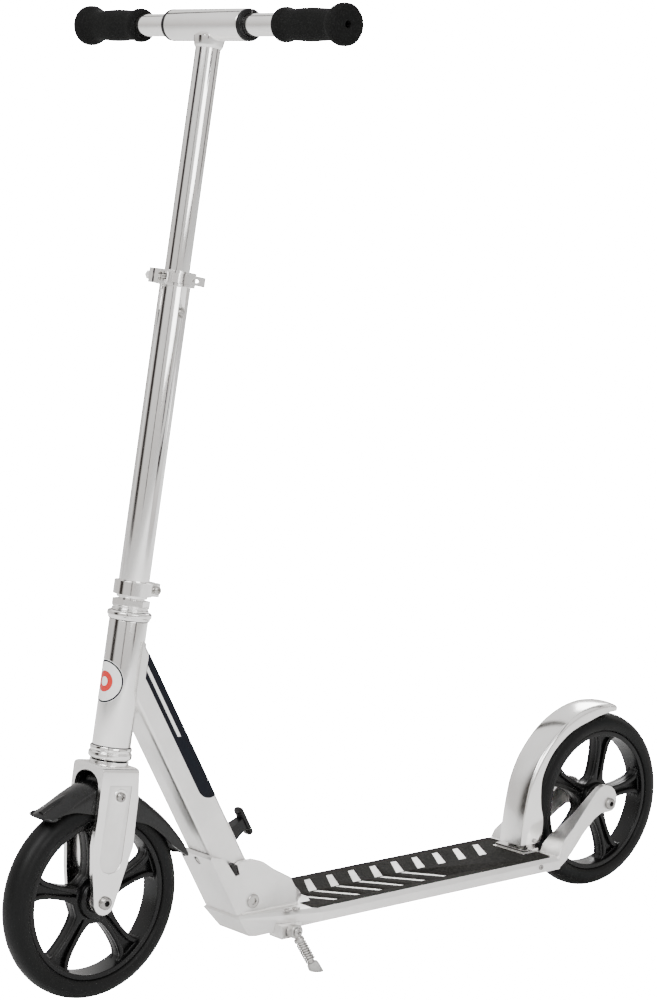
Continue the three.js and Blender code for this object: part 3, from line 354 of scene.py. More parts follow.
def object_space(tree, stretch=(1, 1, 1), turn=(0, 0, 0)):
    coords = tree.nodes.new("ShaderNodeTexCoord")
    return add_node(tree, "ShaderNodeMapping", Vector=coords.outputs["Object"],
                    Scale=stretch, Rotation=turn).outputs["Vector"]


def noise(tree, vector, scale, detail=2.0, roughness=0.5):
    return add_node(tree, "ShaderNodeTexNoise", Vector=vector, Scale=scale, Detail=detail,
                    Roughness=roughness).outputs["Fac"]


def ramp(tree, value, low, high, out_low=0.0, out_high=1.0):
    return add_node(tree, "ShaderNodeMapRange", Value=value, From_Min=low, From_Max=high,
                    To_Min=out_low, To_Max=out_high).outputs["Result"]


def pointiness(tree):
    return tree.nodes.new("ShaderNodeNewGeometry").outputs["Pointiness"]


def handling_group():
    """Faint smudges and dust: a roughness and a mask that vary over the surface."""
    tree, given, end = new_group("handling", {"Roughness": 0.2, "Spread": 0.1, "Size": 18.0},
                                 ("Roughness", "Mask"))
    where = object_space(tree)
    cloud = noise(tree, where, given["Size"], 5.0, 0.62)
    speck = noise(tree, where, 420.0, 2.0)
    mask = ramp(tree, cloud, 0.42, 0.66)
    half = math_node(tree, "MULTIPLY", mask, given["Spread"])
    fine = math_node(tree, "MULTIPLY", speck, 0.04)
    total = math_node(tree, "ADD", math_node(tree, "ADD", given["Roughness"], half), fine)
    feed(tree, end, Roughness=total, Mask=mask)
    return tree


def grain_group():
    """Two sizes of grain as one height."""
    tree, given, end = new_group("grain", {"Fine": 2200.0, "Coarse": 240.0, "Mix": 0.35},
                                 ("Height",))
    where = object_space(tree)
    fine = noise(tree, where, given["Fine"], 2.0)
    coarse = noise(tree, where, given["Coarse"], 3.0)
    share = math_node(tree, "MULTIPLY", coarse, given["Mix"])
    feed(tree, end, Height=math_node(tree, "ADD", fine, share))
    return tree


def edge_group():
    """Where the surface is convex and so rubs bright."""
    tree, given, end = new_group("edge_wear", {"Low": 0.52, "High": 0.6}, ("Mask",))
    patchy = noise(tree, object_space(tree), 60.0, 4.0)
    worn = ramp(tree, pointiness(tree), given["Low"], given["High"])
    feed(tree, end, Mask=math_node(tree, "MULTIPLY", worn, patchy))
    return tree


def seam_shade_group():
    """Painted shade: the surface darkens where it is hollow, in inner corners and at the feet of
    walls.
    """
    tree, given, end = new_group("painted_seam_shade", {"Low": 0.4, "High": 0.48}, ("Mask",))
    patchy = ramp(tree, noise(tree, object_space(tree), 90.0, 3.0), 0.2, 0.8, 0.55, 1.0)
    hollow = ramp(tree, pointiness(tree), given["High"], given["Low"])
    feed(tree, end, Mask=math_node(tree, "MULTIPLY", hollow, patchy))
    return tree


SEAM_SHADE = seam_shade_group()
HANDLING = handling_group()
GRAIN = grain_group()
EDGE_WEAR = edge_group()


def use_group(tree, group, **values):
    node = tree.nodes.new("ShaderNodeGroup")
    node.node_tree = group
    return feed(tree, node, **values).outputs


def blend_colour(tree, mask, first, second):
    node = tree.nodes.new("ShaderNodeMix")
    node.data_type = "RGBA"
    sockets = {s.identifier: s for s in node.inputs}
    tree.links.new(mask, sockets["Factor_Float"])
    for label, value in (("A_Color", first), ("B_Color", second)):
        if isinstance(value, tuple):
            sockets[label].default_value = (*value, 1)
        else:
            tree.links.new(value, sockets[label])
    return next(s for s in node.outputs if s.identifier == "Result_Color")


def add_bump(tree, shader, height, strength, distance):
    node = add_node(tree, "ShaderNodeBump", Strength=strength, Distance=distance, Height=height)
    feed(tree, shader, Normal=node.outputs["Normal"])


def start_material(name):
    material = bpy.data.materials.new(name)
    material.use_nodes = True
    tree = material.node_tree
    return material, tree, tree.nodes["Principled BSDF"]


# ---- materials

# Colour of the painted shade that metals take in creases and hollows.
SEAM_SHADE_COLOUR = (0.16, 0.15, 0.14)


def metal(name, colour, roughness, spread, brushed=None, grain=0.0):
    material, tree, shader = start_material(name)
    marks = use_group(tree, HANDLING, Roughness=roughness, Spread=spread, Size=16.0)
    dull = tuple(c * 0.93 for c in colour)
    clean = blend_colour(tree, marks["Mask"], colour, dull)
    # Painted shade: the base colour darkens towards the shade colour in hollows and creases.
    crease_shade = use_group(tree, SEAM_SHADE, Low=0.40, High=0.485)
    feed(tree, shader, Metallic=1.0, Roughness=marks["Roughness"],
         Base_Color=blend_colour(tree, crease_shade["Mask"], clean, SEAM_SHADE_COLOUR))
    if brushed:
        lines = noise(tree, object_space(tree, *brushed), 1.0, 3.0, 0.7)
        add_bump(tree, shader, lines, 0.10, 0.00012)
    else:
        texture = use_group(tree, GRAIN, Fine=2600.0, Coarse=420.0, Mix=0.4)
        add_bump(tree, shader, texture["Height"], grain, 0.00025)
    return material


def plastic(name, colour, roughness, grain, fine=1800.0, coarse=260.0, rub=(0.09, 0.09, 0.09),
            specular=0.5):
    material, tree, shader = start_material(name)
    marks = use_group(tree, HANDLING, Roughness=roughness, Spread=0.16, Size=22.0)
    worn = use_group(tree, EDGE_WEAR, Low=0.53, High=0.68)
    soft = math_node(tree, "MULTIPLY", worn["Mask"], 0.5)
    feed(tree, shader, Specular_IOR_Level=specular, Roughness=marks["Roughness"],
         Base_Color=blend_colour(tree, soft, colour, rub))
    texture = use_group(tree, GRAIN, Fine=fine, Coarse=coarse, Mix=0.5)
    add_bump(tree, shader, texture["Height"], grain, 0.0004)
    return material


def speckled(name, dark, light, scale, roughness, strength, depth, low=0.5, high=0.72):
    """Foam cells or grit: light and dark specks with a matching height."""
    material, tree, shader = start_material(name)
    where = object_space(tree)
    cells = add_node(tree, "ShaderNodeTexVoronoi", Scale=scale, Vector=where)
    patch = noise(tree, where, scale * 0.45, 4.0, 0.7)
    marks = use_group(tree, HANDLING, Roughness=roughness, Spread=0.05, Size=30.0)
    feed(tree, shader, Roughness=marks["Roughness"], Specular_IOR_Level=0.15,
         Base_Color=blend_colour(tree, ramp(tree, patch, low, high), dark, light))
    height = math_node(tree, "ADD", cells.outputs["Distance"], patch)
    add_bump(tree, shader, height, strength, depth)
    return material


POLISHED = metal("polished_tube", (0.95, 0.94, 0.925), 0.07, 0.06,
                 brushed=((1600, 1600, 8), (0, RAKE, 0)))
FORK_FINISH = metal("polished_fork", (0.94, 0.93, 0.915), 0.12, 0.06, grain=0.03)
SATIN = metal("satin_frame", (0.90, 0.89, 0.875), 0.34, 0.08, grain=0.10)
DECK_FINISH = metal("satin_deck", (0.90, 0.89, 0.875), 0.30, 0.08,
                    brushed=((12, 1400, 1400), (0, 0, 0)))
FENDER_FINISH = metal("polished_fender", (0.93, 0.92, 0.905), 0.12, 0.09,
                      brushed=((30, 1500, 30), (0, 0, 0)))
WELD_FINISH = metal("weld_bead", (0.70, 0.69, 0.67), 0.36, 0.12, grain=0.2)
STEEL = metal("zinc_steel", (0.50, 0.49, 0.475), 0.24, 0.14, grain=0.08)
BOLT_STEEL = metal("bolt_steel", (0.36, 0.35, 0.34), 0.2, 0.12, grain=0.06)
# Near-black metal used only for painted shade: the headset joint rings and the bottoms of bolt
# recesses.
SHADE_BLACK = metal("painted_shade_black", (0.02, 0.02, 0.021), 0.4, 0.1, grain=0.1)
WHEEL_PLASTIC = plastic("wheel_plastic", (0.0022, 0.0022, 0.0024), 0.2, 0.04,
                        rub=(0.02, 0.02, 0.02), specular=0.24)
GUARD_PLASTIC = plastic("guard_plastic", (0.0032, 0.0032, 0.0034), 0.2, 0.04,
                        rub=(0.03, 0.03, 0.03), specular=0.36)
TYRE_RUBBER = plastic("tyre_urethane", (0.0026, 0.0026, 0.0027), 0.4, 0.08, 900.0, 90.0,
                      rub=(0.02, 0.02, 0.02), specular=0.16)
FOAM = speckled("grip_foam", (0.003, 0.003, 0.003), (0.014, 0.014, 0.014), 1500.0, 0.9, 0.5,
                0.0005)
GRIT = speckled("grit_sheet", (0.008, 0.0072, 0.0065), (0.05, 0.047, 0.043), 1250.0, 0.86,
                0.8, 0.0006, 0.48, 0.75)
FOOT_RUBBER = plastic("foot_rubber", (0.36, 0.36, 0.35), 0.7, 0.2, rub=(0.5, 0.5, 0.49))
NAVY_PRINT = plastic("navy_print", (0.0022, 0.003, 0.007), 0.34, 0.03, rub=(0.01, 0.012, 0.02),
                     specular=0.12)
WHITE_PRINT = plastic("white_print", (0.82, 0.82, 0.81), 0.3, 0.03, rub=(0.7, 0.7, 0.69))
RED_PRINT = plastic("red_print", (0.55, 0.018, 0.015), 0.3, 0.03, rub=(0.4, 0.05, 0.05))

# ---- wheels

SPOKES = 5
SPOKE_STEP = 360 / SPOKES
RIM_R = 80
WINDOW_R = 74.85
HUB_R = 19
RIM_HALF = 12.2


def tyre_profile():
    """A nearly half-round crown between two flat sidewalls, with a fine moulding line."""
    outer = [(80.3, -12.8), (81.4, -14.2), (83.5, -14.9), (87.0, -15.0)]
    steps = 16
    for k in range(steps + 1):
        a = math.radians(-90 + 180 * k / steps)
        r = 87.2 + 12.8 * max(math.cos(a), 0) ** 0.86
        outer.append((min(r, WHEEL_R - 0.05), 15 * math.sin(a)))
    outer += [(87.0, 15.0), (83.5, 14.9), (81.4, 14.2), (80.3, 12.8)]
    return outer


def spoke_window(middle):
    """The opening between two spokes: slim at the middle of the spokes, flared at the rim."""
    spoke = [(HUB_R + 6.5, 9.4), (HUB_R + 9, 8.5), (HUB_R + 13, 7.6), (HUB_R + 18, 7.1),
             (HUB_R + 26, 7.0), (HUB_R + 34, 7.5), (WINDOW_R - 13, 8.8), (WINDOW_R - 8, 10.1),
             (WINDOW_R - 4, 12.0), (WINDOW_R - 1.6, 14.6), (WINDOW_R - 0.3, 18.0)]
    half = 180 / SPOKES
    edge = [(half - math.degrees(math.asin(w / r)), r) for r, w in spoke]
    left = [polar(middle - a, r) for a, r in edge]
    right = [polar(middle + a, r) for a, r in reversed(edge)]
    top = [polar(middle + a, WINDOW_R) for a in (-14, -9, -4.5, 0, 4.5, 9, 14)]
    return left + top + right


def spoke_groove(middle):
    """The long hollow along the middle of a spoke, wider at the rim."""
    half = [(HUB_R + 4, 1.0), (HUB_R + 12, 1.8), (HUB_R + 26, 2.3), (WINDOW_R - 16, 3.0),
            (WINDOW_R - 8, 4.6), (WINDOW_R - 4, 6.6), (WINDOW_R - 2.4, 7.6)]
    side = [polar(middle - math.degrees(math.asin(w / r)), r) for r, w in half]
    other = [polar(middle + math.degrees(math.asin(w / r)), r) for r, w in reversed(half)]
    return side + other


def flat_shape(name, loops, low, high, edge, place):
    """A flat plate with holes and eased edges, made from closed outlines in millimetres."""
    curve = bpy.data.curves.new(name, "CURVE")
    curve.dimensions = "2D"
    curve.fill_mode = "BOTH"
    half = (high - low) / 2
    curve.extrude = (half - edge) * MM
    curve.bevel_depth = edge * MM
    curve.bevel_resolution = 2
    curve.offset = -edge * MM
    for loop in loops:
        spline = curve.splines.new("POLY")
        spline.points.add(len(loop) - 1)
        for point, (x, y) in zip(spline.points, loop):
            point.co = (x * MM, y * MM, 0, 1)
        spline.use_cyclic_u = True
    holder = add_object(name + "_curve", curve)
    mesh = plain_mesh(holder)
    bpy.data.objects.remove(holder)
    bpy.data.curves.remove(curve)
    bm = bmesh.new()
    bm.from_mesh(mesh)
    bpy.data.meshes.remove(mesh)
    return from_bmesh(name, bm, place @ Matrix.Translation((0, 0, (low + high) / 2 * MM)), 40)


def rim_piece(prefix, place, phase):
    windows = [spoke_window(phase + SPOKE_STEP * (i + 0.5)) for i in range(SPOKES)]
    grooves = [spoke_groove(phase + SPOKE_STEP * i) for i in range(SPOKES)]
    web = flat_shape("web", [circle(RIM_R - 0.8), *windows], -4.0, 4.0, 0.8, place)
    band = lathe("band", ring_outline(WINDOW_R - 0.5, RIM_R, -RIM_HALF, RIM_HALF, 1.0), place,
                 150)
    faces = [flat_shape("ribs", [circle(RIM_R - 1.5), *windows, *grooves], low, high, 1.4,
                        place) for low, high in ((3.0, 8.2), (-8.2, -3.0))]
    hub = lathe("hub", rounded([(11.15, -14), (15.5, -14), (HUB_R, -12.4), (HUB_R + 1.2, -8),
                                (HUB_R + 1.2, 8), (HUB_R, 12.4), (15.5, 14), (11.15, 14)], 1.0, 3),
                place, 80)
    ribs = [lathe("rib", [(75.2, y - 0.5), (75.6, y + 0.5), (74.45, y + 0.22),
                          (74.45, y - 0.22)], place, 120) for y in range(-9, 10, 3)]
    joined(prefix + "_rim_look", [web, band, *faces, hub, *ribs], 38, WHEEL_PLASTIC,
           prefix + "_rim")


def bearing_shield(prefix, side, axle):
    """Outer race, dished shield and inner race of one ball bearing."""
    face = 13.8
    profile = rounded([(4.1, 7.0), (11, 7.0), (11, face), (9.6, face), (9.4, face - 0.5),
                       (6.3, face - 0.5), (6.1, face), (4.1, face)], 0.25, 2)
    piece = lathe(f"{prefix}_bearing_{side}", profile, axle @ (LEFTWARD if side > 0 else RIGHTWARD),
                  64)
    finish_piece(piece, STEEL, f"{prefix}_bearing_{'left' if side > 0 else 'right'}")


for prefix, axle, phase in (("front", FRONT_AXLE, 17), ("rear", REAR_AXLE, 29)):
    wheel = axle @ RIGHTWARD
    tyre = lathe(prefix + "_tyre_look", tyre_profile(), wheel, 180, 50)
    finish_piece(tyre, TYRE_RUBBER, prefix + "_tyre")
    rim_piece(prefix, wheel, phase)
    for side in (1, -1):
        bearing_shield(prefix, side, axle)

# ---- formed guards


def catmull(points, count):
    """Points along a smooth line through the given ones."""
    out = []
    last = len(points) - 1
    for i in range(count + 1):
        t = i / count * last
        k = min(int(t), last - 1)
        f = t - k
        p = [Vector(points[min(max(k + d, 0), last)]) for d in (-1, 0, 1, 2)]
        out.append(0.5 * ((2 * p[1]) + (p[2] - p[0]) * f
                          + (2 * p[0] - 5 * p[1] + 4 * p[2] - p[3]) * f * f
                          + (3 * p[1] - p[0] - 3 * p[2] + p[3]) * f ** 3))
    return out


def formed_shell(name, ridge, edge, half_at, place, wall, crown, stations=64, across=26,
                 groove=0.0):
    """A pressed shell along a curve. ridge is its centre line, edge its side's lower line.
    half_at(t) is its half width and crown the height that its middle stands proud."""
    top = catmull(ridge, stations)
    low = catmull(edge, stations)
    bm = bmesh.new()
    outer, inner = [], []
    for i in range(stations + 1):
        t = i / stations
        out = (top[i] - low[i]).normalized()
        half = half_at(t)
        row_out, row_in = [], []
        for j in range(-across, across + 1):
            s = j / across
            a = abs(s)
            if a < 0.72:
                y = half * (a / 0.72) * 0.93
                drop = crown * (a / 0.72) ** 2
                point = top[i] - out * drop
            else:
                f = (a - 0.72) / 0.28
                y = half * (0.93 + 0.07 * math.sin(min(f * 2.2, 1) * math.pi / 2))
                start = top[i] - out * crown
                point = start.lerp(low[i], f ** 1.25)
            if groove and 0.68 < a < 0.8:
                point = point - out * groove * math.sin((a - 0.68) / 0.12 * math.pi)
            row_out.append((point, math.copysign(y, s)))
        for j, (point, y) in enumerate(row_out):
            before = row_out[max(j - 1, 0)]
            after = row_out[min(j + 1, 2 * across)]
            dy = after[1] - before[1]
            dp = (after[0] - before[0]).dot(out)
            length = math.hypot(dy, dp) or 1.0
            normal_y, normal_out = -dp / length, dy / length
            inside = point - out * wall * normal_out
            row_in.append((inside, y - wall * normal_y))
        outer.append([bm.verts.new((p.x * MM, y * MM, p.y * MM)) for p, y in row_out])
        inner.append([bm.verts.new((p.x * MM, y * MM, p.y * MM)) for p, y in row_in])
    width = 2 * across
    for i in range(stations):
        for j in range(width):
            bm.faces.new((outer[i][j], outer[i][j + 1], outer[i + 1][j + 1], outer[i + 1][j]))
            bm.faces.new((inner[i][j], inner[i + 1][j], inner[i + 1][j + 1], inner[i][j + 1]))
        for j in (0, width):
            bm.faces.new((outer[i][j], outer[i + 1][j], inner[i + 1][j], inner[i][j]))
    for i in (0, stations):
        for j in range(width):
            bm.faces.new((outer[i][j], outer[i][j + 1], inner[i][j + 1], inner[i][j]))
    return from_bmesh(name, bm, place, 50)


def tip_width(half, front, rear, floor=0.15):
    """A half width that closes to a rounded point over front and rear shares of the length."""
    def at(t):
        share = 1.0
        if front and t < front:
            share = math.sqrt(max(1 - ((front - t) / front) ** 2, 0))
        if rear and t > 1 - rear:
            share = math.sqrt(max(1 - ((t - 1 + rear) / rear) ** 2, 0))
        return half * max(share, floor)
    return at


def front_guard():
    ridge = arc((45, 111), (51, 110.4), (60, 110.6), (69, 113.5), (78, 117.0), (90, 117.5),
                (103, 112), (120, 108), (132, 109.2), (145, 113), (152, 115.8), (158, 117.4))
    edge = arc((46, 108), (52, 105.5), (62, 99), (76, 88), (90, 84), (106, 83), (120, 88),
               (132, 91.5), (145, 97), (152, 104), (157.5, 112))
    shell = formed_shell("guard_shell", ridge, edge, tip_width(18.8, 0.05, 0.05, 0.5), STEERING,
                         2.2, 4.6)
    saddle = block("saddle", (-15, -13, 104), (17, 13, 121), STEERING)
    bevel(saddle, 4, 4)
    rib = catmull([(44, 100), (52, 96), (62, 90), (72, 83)], 18)
    bm = bmesh.new()
    wire_along(bm, [Vector((p.x * MM, 0, (p.y - 1.2) * MM)) for p in rib], 4.2 * MM)
    nose = from_bmesh("nose_rib", bm, STEERING, 60)
    joined("front_mudguard_look", [shell, saddle, nose], 45, GUARD_PLASTIC, "front_mudguard")


def rear_guard():
    x, z = 106.5, -30
    ridge = [(x + 20.5, z - 3.5), (x + 18.6, z + 14), (x + 14.5, z + 40), (x + 8, z + 66),
             *arc((29, 118.8), (38, 117.4), (47.5, 116.4), (56, 115.8), (64, 115.4), (72, 115.2),
                  (79, 115), (86, 114.6), (93, 114), (98, 113), (103, 111.6))]
    edge = [(x - 9, z - 3), (x - 11.5, z + 4), (x - 12.8, z + 22), (x - 8.5, z + 41),
            *arc((20, 104.4), (29, 105.6), (38, 105.6), (47, 104.2), (57, 102.6), (66, 100.6),
                 (76, 99.4), (84, 100.6), (92, 102.2), (97.5, 103.6), (102, 105.4))]
    guard = formed_shell("rear_fender_look", ridge, edge, tip_width(19.0, 0, 0.035, 0.72),
                         REAR_AXLE, 2.4, 2.2, 90, groove=1.3)
    finish_piece(guard, FENDER_FINISH, "rear_fender")


front_guard()
rear_guard()

# ---- column and headset


def column():
    tube = lathe("lower_tube_look", ring_outline(12.7, LOWER_TUBE_R, 297, 613.3), STEERING, 112)
    carve(tube, block("slot", (0, -1.3, BUTTON_HEIGHT), (20, 1.3, 615), STEERING),
          prism("button_hole", circle(3.3, 48), 5, 22, to_left(0, 0, BUTTON_HEIGHT, STEERING)))
    finish_piece(tube, POLISHED, "lower_tube")
    head = lathe("head_tube_look", ring_outline(16.6, HEAD_TUBE_R, 151, 275.4, 0.8), STEERING, 112)
    finish_piece(head, POLISHED, "head_tube")
    low = rounded([(15.6, 138.6), (20.2, 138.6), (21.6, 140.2), (21.6, 144.4), (20.4, 145.4),
                   (20.4, 147.2), (21.0, 148.0), (20.6, 150.7), (15.6, 150.7)], 0.5, 3)
    finish_piece(lathe("lower_cup_look", low, STEERING, 96), POLISHED, "lower_cup")
    high = rounded([(15.6, 275.7), (20.4, 275.7), (21.0, 278.2), (22.0, 279.2), (22.0, 282.4),
                    (20.6, 284.0), (15.6, 284.0)], 0.5, 3)
    finish_piece(lathe("upper_cup_look", high, STEERING, 96), POLISHED, "upper_cup")
    ring = rounded([(12.7, 284.3), (18.4, 284.3), (18.4, 286.0), (17.6, 286.6), (17.6, 287.6),
                    (18.4, 288.2), (18.4, 289.4), (17.8, 289.7), (12.7, 289.7)], 0.3, 2)
    finish_piece(lathe("adjusting_nut_look", ring, STEERING, 96), POLISHED, "adjusting_nut")


def handle_stem():
    tube = lathe("stem", ring_outline(10.6, 12.4, 535, 846), STEERING, 96)
    weld = lathe("stem_weld", rounded([(12.2, 834), (13.0, 834.4), (14.2, 836.5), (15.0, 841),
                                       (15.6, 845), (12.2, 845)], 0.4, 3), STEERING, 96)
    sleeve = lathe("sleeve", ring_outline(11.5, 15.6, -56, 56, 0.9),
                   to_left(0, 0, BAR_HEIGHT, STEERING), 112)
    joined("handle_stem_look", [tube, weld, sleeve], 35, POLISHED, "handle_stem")


GRIP_END = 201.8


def grip_outline():
    start = GRIP_END - 94
    sleeve = [(11.4, 0), (15.0, 0), (16.3, 1.2), (16.7, 4), (16.5, 7.5), (15.2, 10.5), (14.7, 14),
              (14.9, 22), (15.5, 31), (15.8, 40), (15.6, 50), (15.0, 60), (14.6, 68), (14.8, 74),
              (16.4, 78), (18.6, 81), (19.8, 84.5), (20.0, 88), (19.6, 91.2)]
    cap = [(18.4, 1), (16.8, 0.2), (14.8, 0.6), (9.0, 1.2), (5.0, 0.9), (3.6, 1.4), (3.5, 5.2),
           (11.4, 5.2)]
    return [(r, start + up) for r, up in sleeve] + [(r, GRIP_END - down) for r, down in cap]


def handles():
    for name, turn in (("left", to_left), ("right", to_right)):
        axis = turn(0, 0, BAR_HEIGHT, STEERING)
        bar = lathe(name + "_bar", ring_outline(9.3, 11.1, 20, GRIP_END - 5.5), axis, 80)
        finish_piece(bar, POLISHED, name + "_handlebar")
        grip = lathe(name + "_grip_look", grip_outline(), axis, 96, 60)
        finish_piece(grip, FOAM, name + "_grip")
        cap = rounded([(11.3, 56.3), (15.6, 56.3), (15.7, 57.2), (15.6, 59.6), (14.4, 60.7),
                       (11.3, 60.7)], 0.3, 3)
        ring = lathe(name + "_ring_look", cap, axis, 80)
        carve(ring, block("gap", (-1.6, -20, 50), (1.6, -8, 66), axis))
        finish_piece(ring, WHEEL_PLASTIC, name + "_sleeve_ring")


column()
handle_stem()
handles()

# ---- coil springs


def coil_group():
    """A node tree that winds a round wire into a coil and makes it plain, with named sizes."""
    tree = bpy.data.node_groups.new("coil_spring", "GeometryNodeTree")
    tree.interface.new_socket("Geometry", in_out="OUTPUT", socket_type="NodeSocketGeometry")
    inputs = {label: tree.interface.new_socket(label, in_out="INPUT", socket_type=kind).identifier
              for label, kind in (("Radius", "NodeSocketFloat"), ("Wire", "NodeSocketFloat"),
                                  ("Height", "NodeSocketFloat"), ("Turns", "NodeSocketFloat"),
                                  ("Material", "NodeSocketMaterial"))}
    given = tree.nodes.new("NodeGroupInput").outputs
    line = add_node(tree, "GeometryNodeCurveSpiral", Start_Radius=given["Radius"], Resolution=22,
                    End_Radius=given["Radius"], Height=given["Height"], Rotations=given["Turns"])
    wire = add_node(tree, "GeometryNodeCurvePrimitiveCircle", Resolution=8, Radius=given["Wire"])
    body = add_node(tree, "GeometryNodeCurveToMesh", Fill_Caps=True, Curve=line.outputs[0],
                    Profile_Curve=wire.outputs[0])
    real = add_node(tree, "GeometryNodeRealizeInstances", Geometry=body.outputs[0])
    paint = add_node(tree, "GeometryNodeSetMaterial", Geometry=real.outputs[0],
                     Material=given["Material"])
    add_node(tree, "NodeGroupOutput", Geometry=paint.outputs[0])
    return tree, inputs


COIL, COIL_INPUTS = coil_group()


def coil(name, radius, wire, height, turns, place, material):
    """A coil spring from local z = 0 up, baked to plain mesh."""
    obj = add_object(name, bpy.data.meshes.new(name))
    modifier = obj.modifiers.new("coil", "NODES")
    modifier.node_group = COIL
    for label, value in (("Radius", radius * MM), ("Wire", wire * MM), ("Height", height * MM),
                         ("Turns", float(turns)), ("Material", material)):
        modifier[COIL_INPUTS[label]] = value
    apply_modifiers(obj)
    obj.data.transform(place)
    smooth(obj.data, 60)
    return obj


# ---- bolts


def bolt_head(name, r, height, kind, place, dome=0.35):
    """A round head on local z, with a cross or hexagon recess and a soft rim."""
    profile = rounded([(0.01, 0), (r, 0), (r, height * (1 - dome)), (r * 0.72, height),
                       (0.01, height)], min(height * 0.3, 0.6), 3)
    head = lathe(name, profile, place, 48)
    if kind == "cross":
        arm, slim = r * 0.55, r * 0.14
        carve(head, block("a", (-arm, -slim, height * 0.35), (arm, slim, height + 1), place),
              block("b", (-slim, -arm, height * 0.35), (slim, arm, height + 1), place))
    else:
        carve(head, prism("hex", circle(r * 0.5, 6), height * 0.3, height + 1, place))
    return head


def nut(name, flats, low, high, place):
    piece = prism(name, circle(flats / math.cos(math.radians(30)), 6), low, high, place)
    smooth(piece.data, 30)
    bevel(piece, 0.45, 3, 30)
    return piece


def axles():
    for prefix, place, out in (("front", STEERING, FRONT_HEAD_AT),
                               ("rear", REAR_AXLE, REAR_HEAD_AT)):
        head = bolt_head("head", 6.6, 3.4, "hex", to_left(0, out + 0.3, 0, place))
        shank = rod("shank", 4, -out - 5, out + 0.4, to_left(0, 0, 0, place))
        joined(prefix + "_axle_look", [head, shank], 32, BOLT_STEEL, prefix + "_axle")
        finish_piece(nut("nut", 6.0, -out - 4.6, -out - 0.3, to_left(0, 0, 0, place)), STEEL,
                     prefix + "_axle_nut")


def guard_bolts():
    for side, turn in (("left", to_left), ("right", to_right)):
        place = turn(-1.5, 0, 104.5, STEERING)
        joined(f"mudguard_bolt_{side}_look",
               [bolt_head("head", 4.8, 2.5, "cross", at(0, 0, 24.8, place)),
                rod("shank", 2.4, 17.4, 25, place)], 32, BOLT_STEEL, f"mudguard_bolt_{side}")


def pivot_bolt():
    head = bolt_head("head", 7.4, 1.9, "hex", to_left(PIVOT_X, 26.3, PIVOT_Z), 0.2)
    shank = rod("shank", 4, -30.5, 26.4, to_left(PIVOT_X, 0, PIVOT_Z))
    joined("pivot_bolt_look", [head, shank], 32, STEEL, "pivot_bolt")


def deck_screws():
    for name, x in (("nose_bolt_rear", 123), ("nose_bolt_front", 134)):
        finish_piece(bolt_head(name, 4.1, 2.3, "cross", at(x, 43.5, FLANGE_TOP)), BOLT_STEEL,
                     body="deck_assembly")
    for side, turn in ((1, to_left), (-1, to_right)):
        place = turn(-220, side * 56.0, 52)
        finish_piece(bolt_head(f"side_screw_{side}", 3.0, 1.3, "cross", place), BOLT_STEEL,
                     body="deck_assembly")


axles()
guard_bolts()
pivot_bolt()
deck_screws()

# ---- springs and kickstand

STAND = (133.5, 54, 41)
FOOT = (115.5, 69, 0)


def kickstand():
    down = Vector(FOOT) - Vector(STAND)
    length = down.length
    turn = Vector((0, 0, -1)).rotation_difference(down.normalized()).to_matrix().to_4x4()
    leg = Matrix.Translation(Vector(STAND) * MM) @ turn
    side = to_left(STAND[0], 0, STAND[2])
    hub = lathe("hub", rounded([(3.15, 50.3), (7.5, 50.3), (7.5, 59), (3.15, 59)], 0.5, 3),
                side, 56)
    shaft = rod("shaft", 3.6, -length + 4, -5, leg)
    collar = rod("collar", 5.6, -12.5, -8.5, leg, 48, 0.8)
    joined("kickstand_leg_look", [hub, shaft, collar], 35, STEEL, "kickstand_leg")
    spring = coil("kickstand_spring_look", 5.0, 0.9, length - 25.5, 8, at(0, 0, 12 - length, leg),
                  STEEL)
    finish_piece(spring, STEEL, "kickstand_spring")
    sole = [(0.01, -length - 8), (6.6, -length - 8), (6.6, -length + 5), (5.9, -length + 9),
            (4.6, -length + 10), (3.9, -length + 10), (3.9, -length + 4), (0.01, -length + 4)]
    foot = lathe("kickstand_foot_look", rounded(sole, 0.5, 2), leg, 56)
    carve(foot, block("ground", (40, 30, -60), (200, 120, 0)))
    finish_piece(foot, FOOT_RUBBER, "kickstand_foot")
    cap = bolt_head("cap", 5, 2.0, "cross", to_left(STAND[0], 59.3, STAND[2]))
    joined("kickstand_pivot_look", [rod("pin", 3, 45, 60, side), cap], 35, STEEL,
           "kickstand_pivot")


kickstand()
finish_piece(coil("fender_spring_look", 3.7, 0.8, 18.6, 9, to_left(-245.5, -9.3, 70), STEEL),
             STEEL, "fender_spring")
lock_axis = at(-15.6, 0, 63.8, TUBE) @ Matrix.Rotation(math.pi / 2, 4, "Y")
lock_spring = coil("lock_spring_look", 4.5, 0.5, 12, 6, lock_axis, STEEL)
finish_piece(lock_spring, STEEL, "lock_spring")
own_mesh(lock_spring)

# ---- clamps

finish_piece(copy_of("clamp_collar", 0.8), POLISHED, "clamp_collar")
clamp = copy_of("quick_release_clamp", 0.8)
clamp.name = "quick_release_look"
finish_piece(clamp, POLISHED, "quick_release_clamp")
finish_piece(copy_of("quick_release_lever", 0.9, 4), POLISHED, "quick_release_lever")
screw_place = to_left(-22.5, 7.8, 306.55, STEERING)
joined("clamp_screw_look", [bolt_head("head", 4.2, 4.2, "hex", screw_place, 0.2),
                            rod("shank", 2.4, -16.6, 0.2, screw_place)], 32, STEEL, "clamp_screw")
skewer_place = to_left(22.5, 0, 610.15, STEERING)
finish_piece(rod("skewer_look", 2.6, -14.5, 14.5, skewer_place), STEEL, "quick_release_skewer")
finish_piece(nut("quick_nut_look", 4.1, -15, -7.8, skewer_place), POLISHED, "quick_release_nut")
button_place = to_left(0, 0, BUTTON_HEIGHT, STEERING)
joined("height_button_look", [rod("stem", 3.1, 14, 16.7, button_place),
                              rod("dome", 2.4, 16.3, 17.5, button_place, 40, 0.6)], 35, STEEL,
       "height_button")

# ---- frame


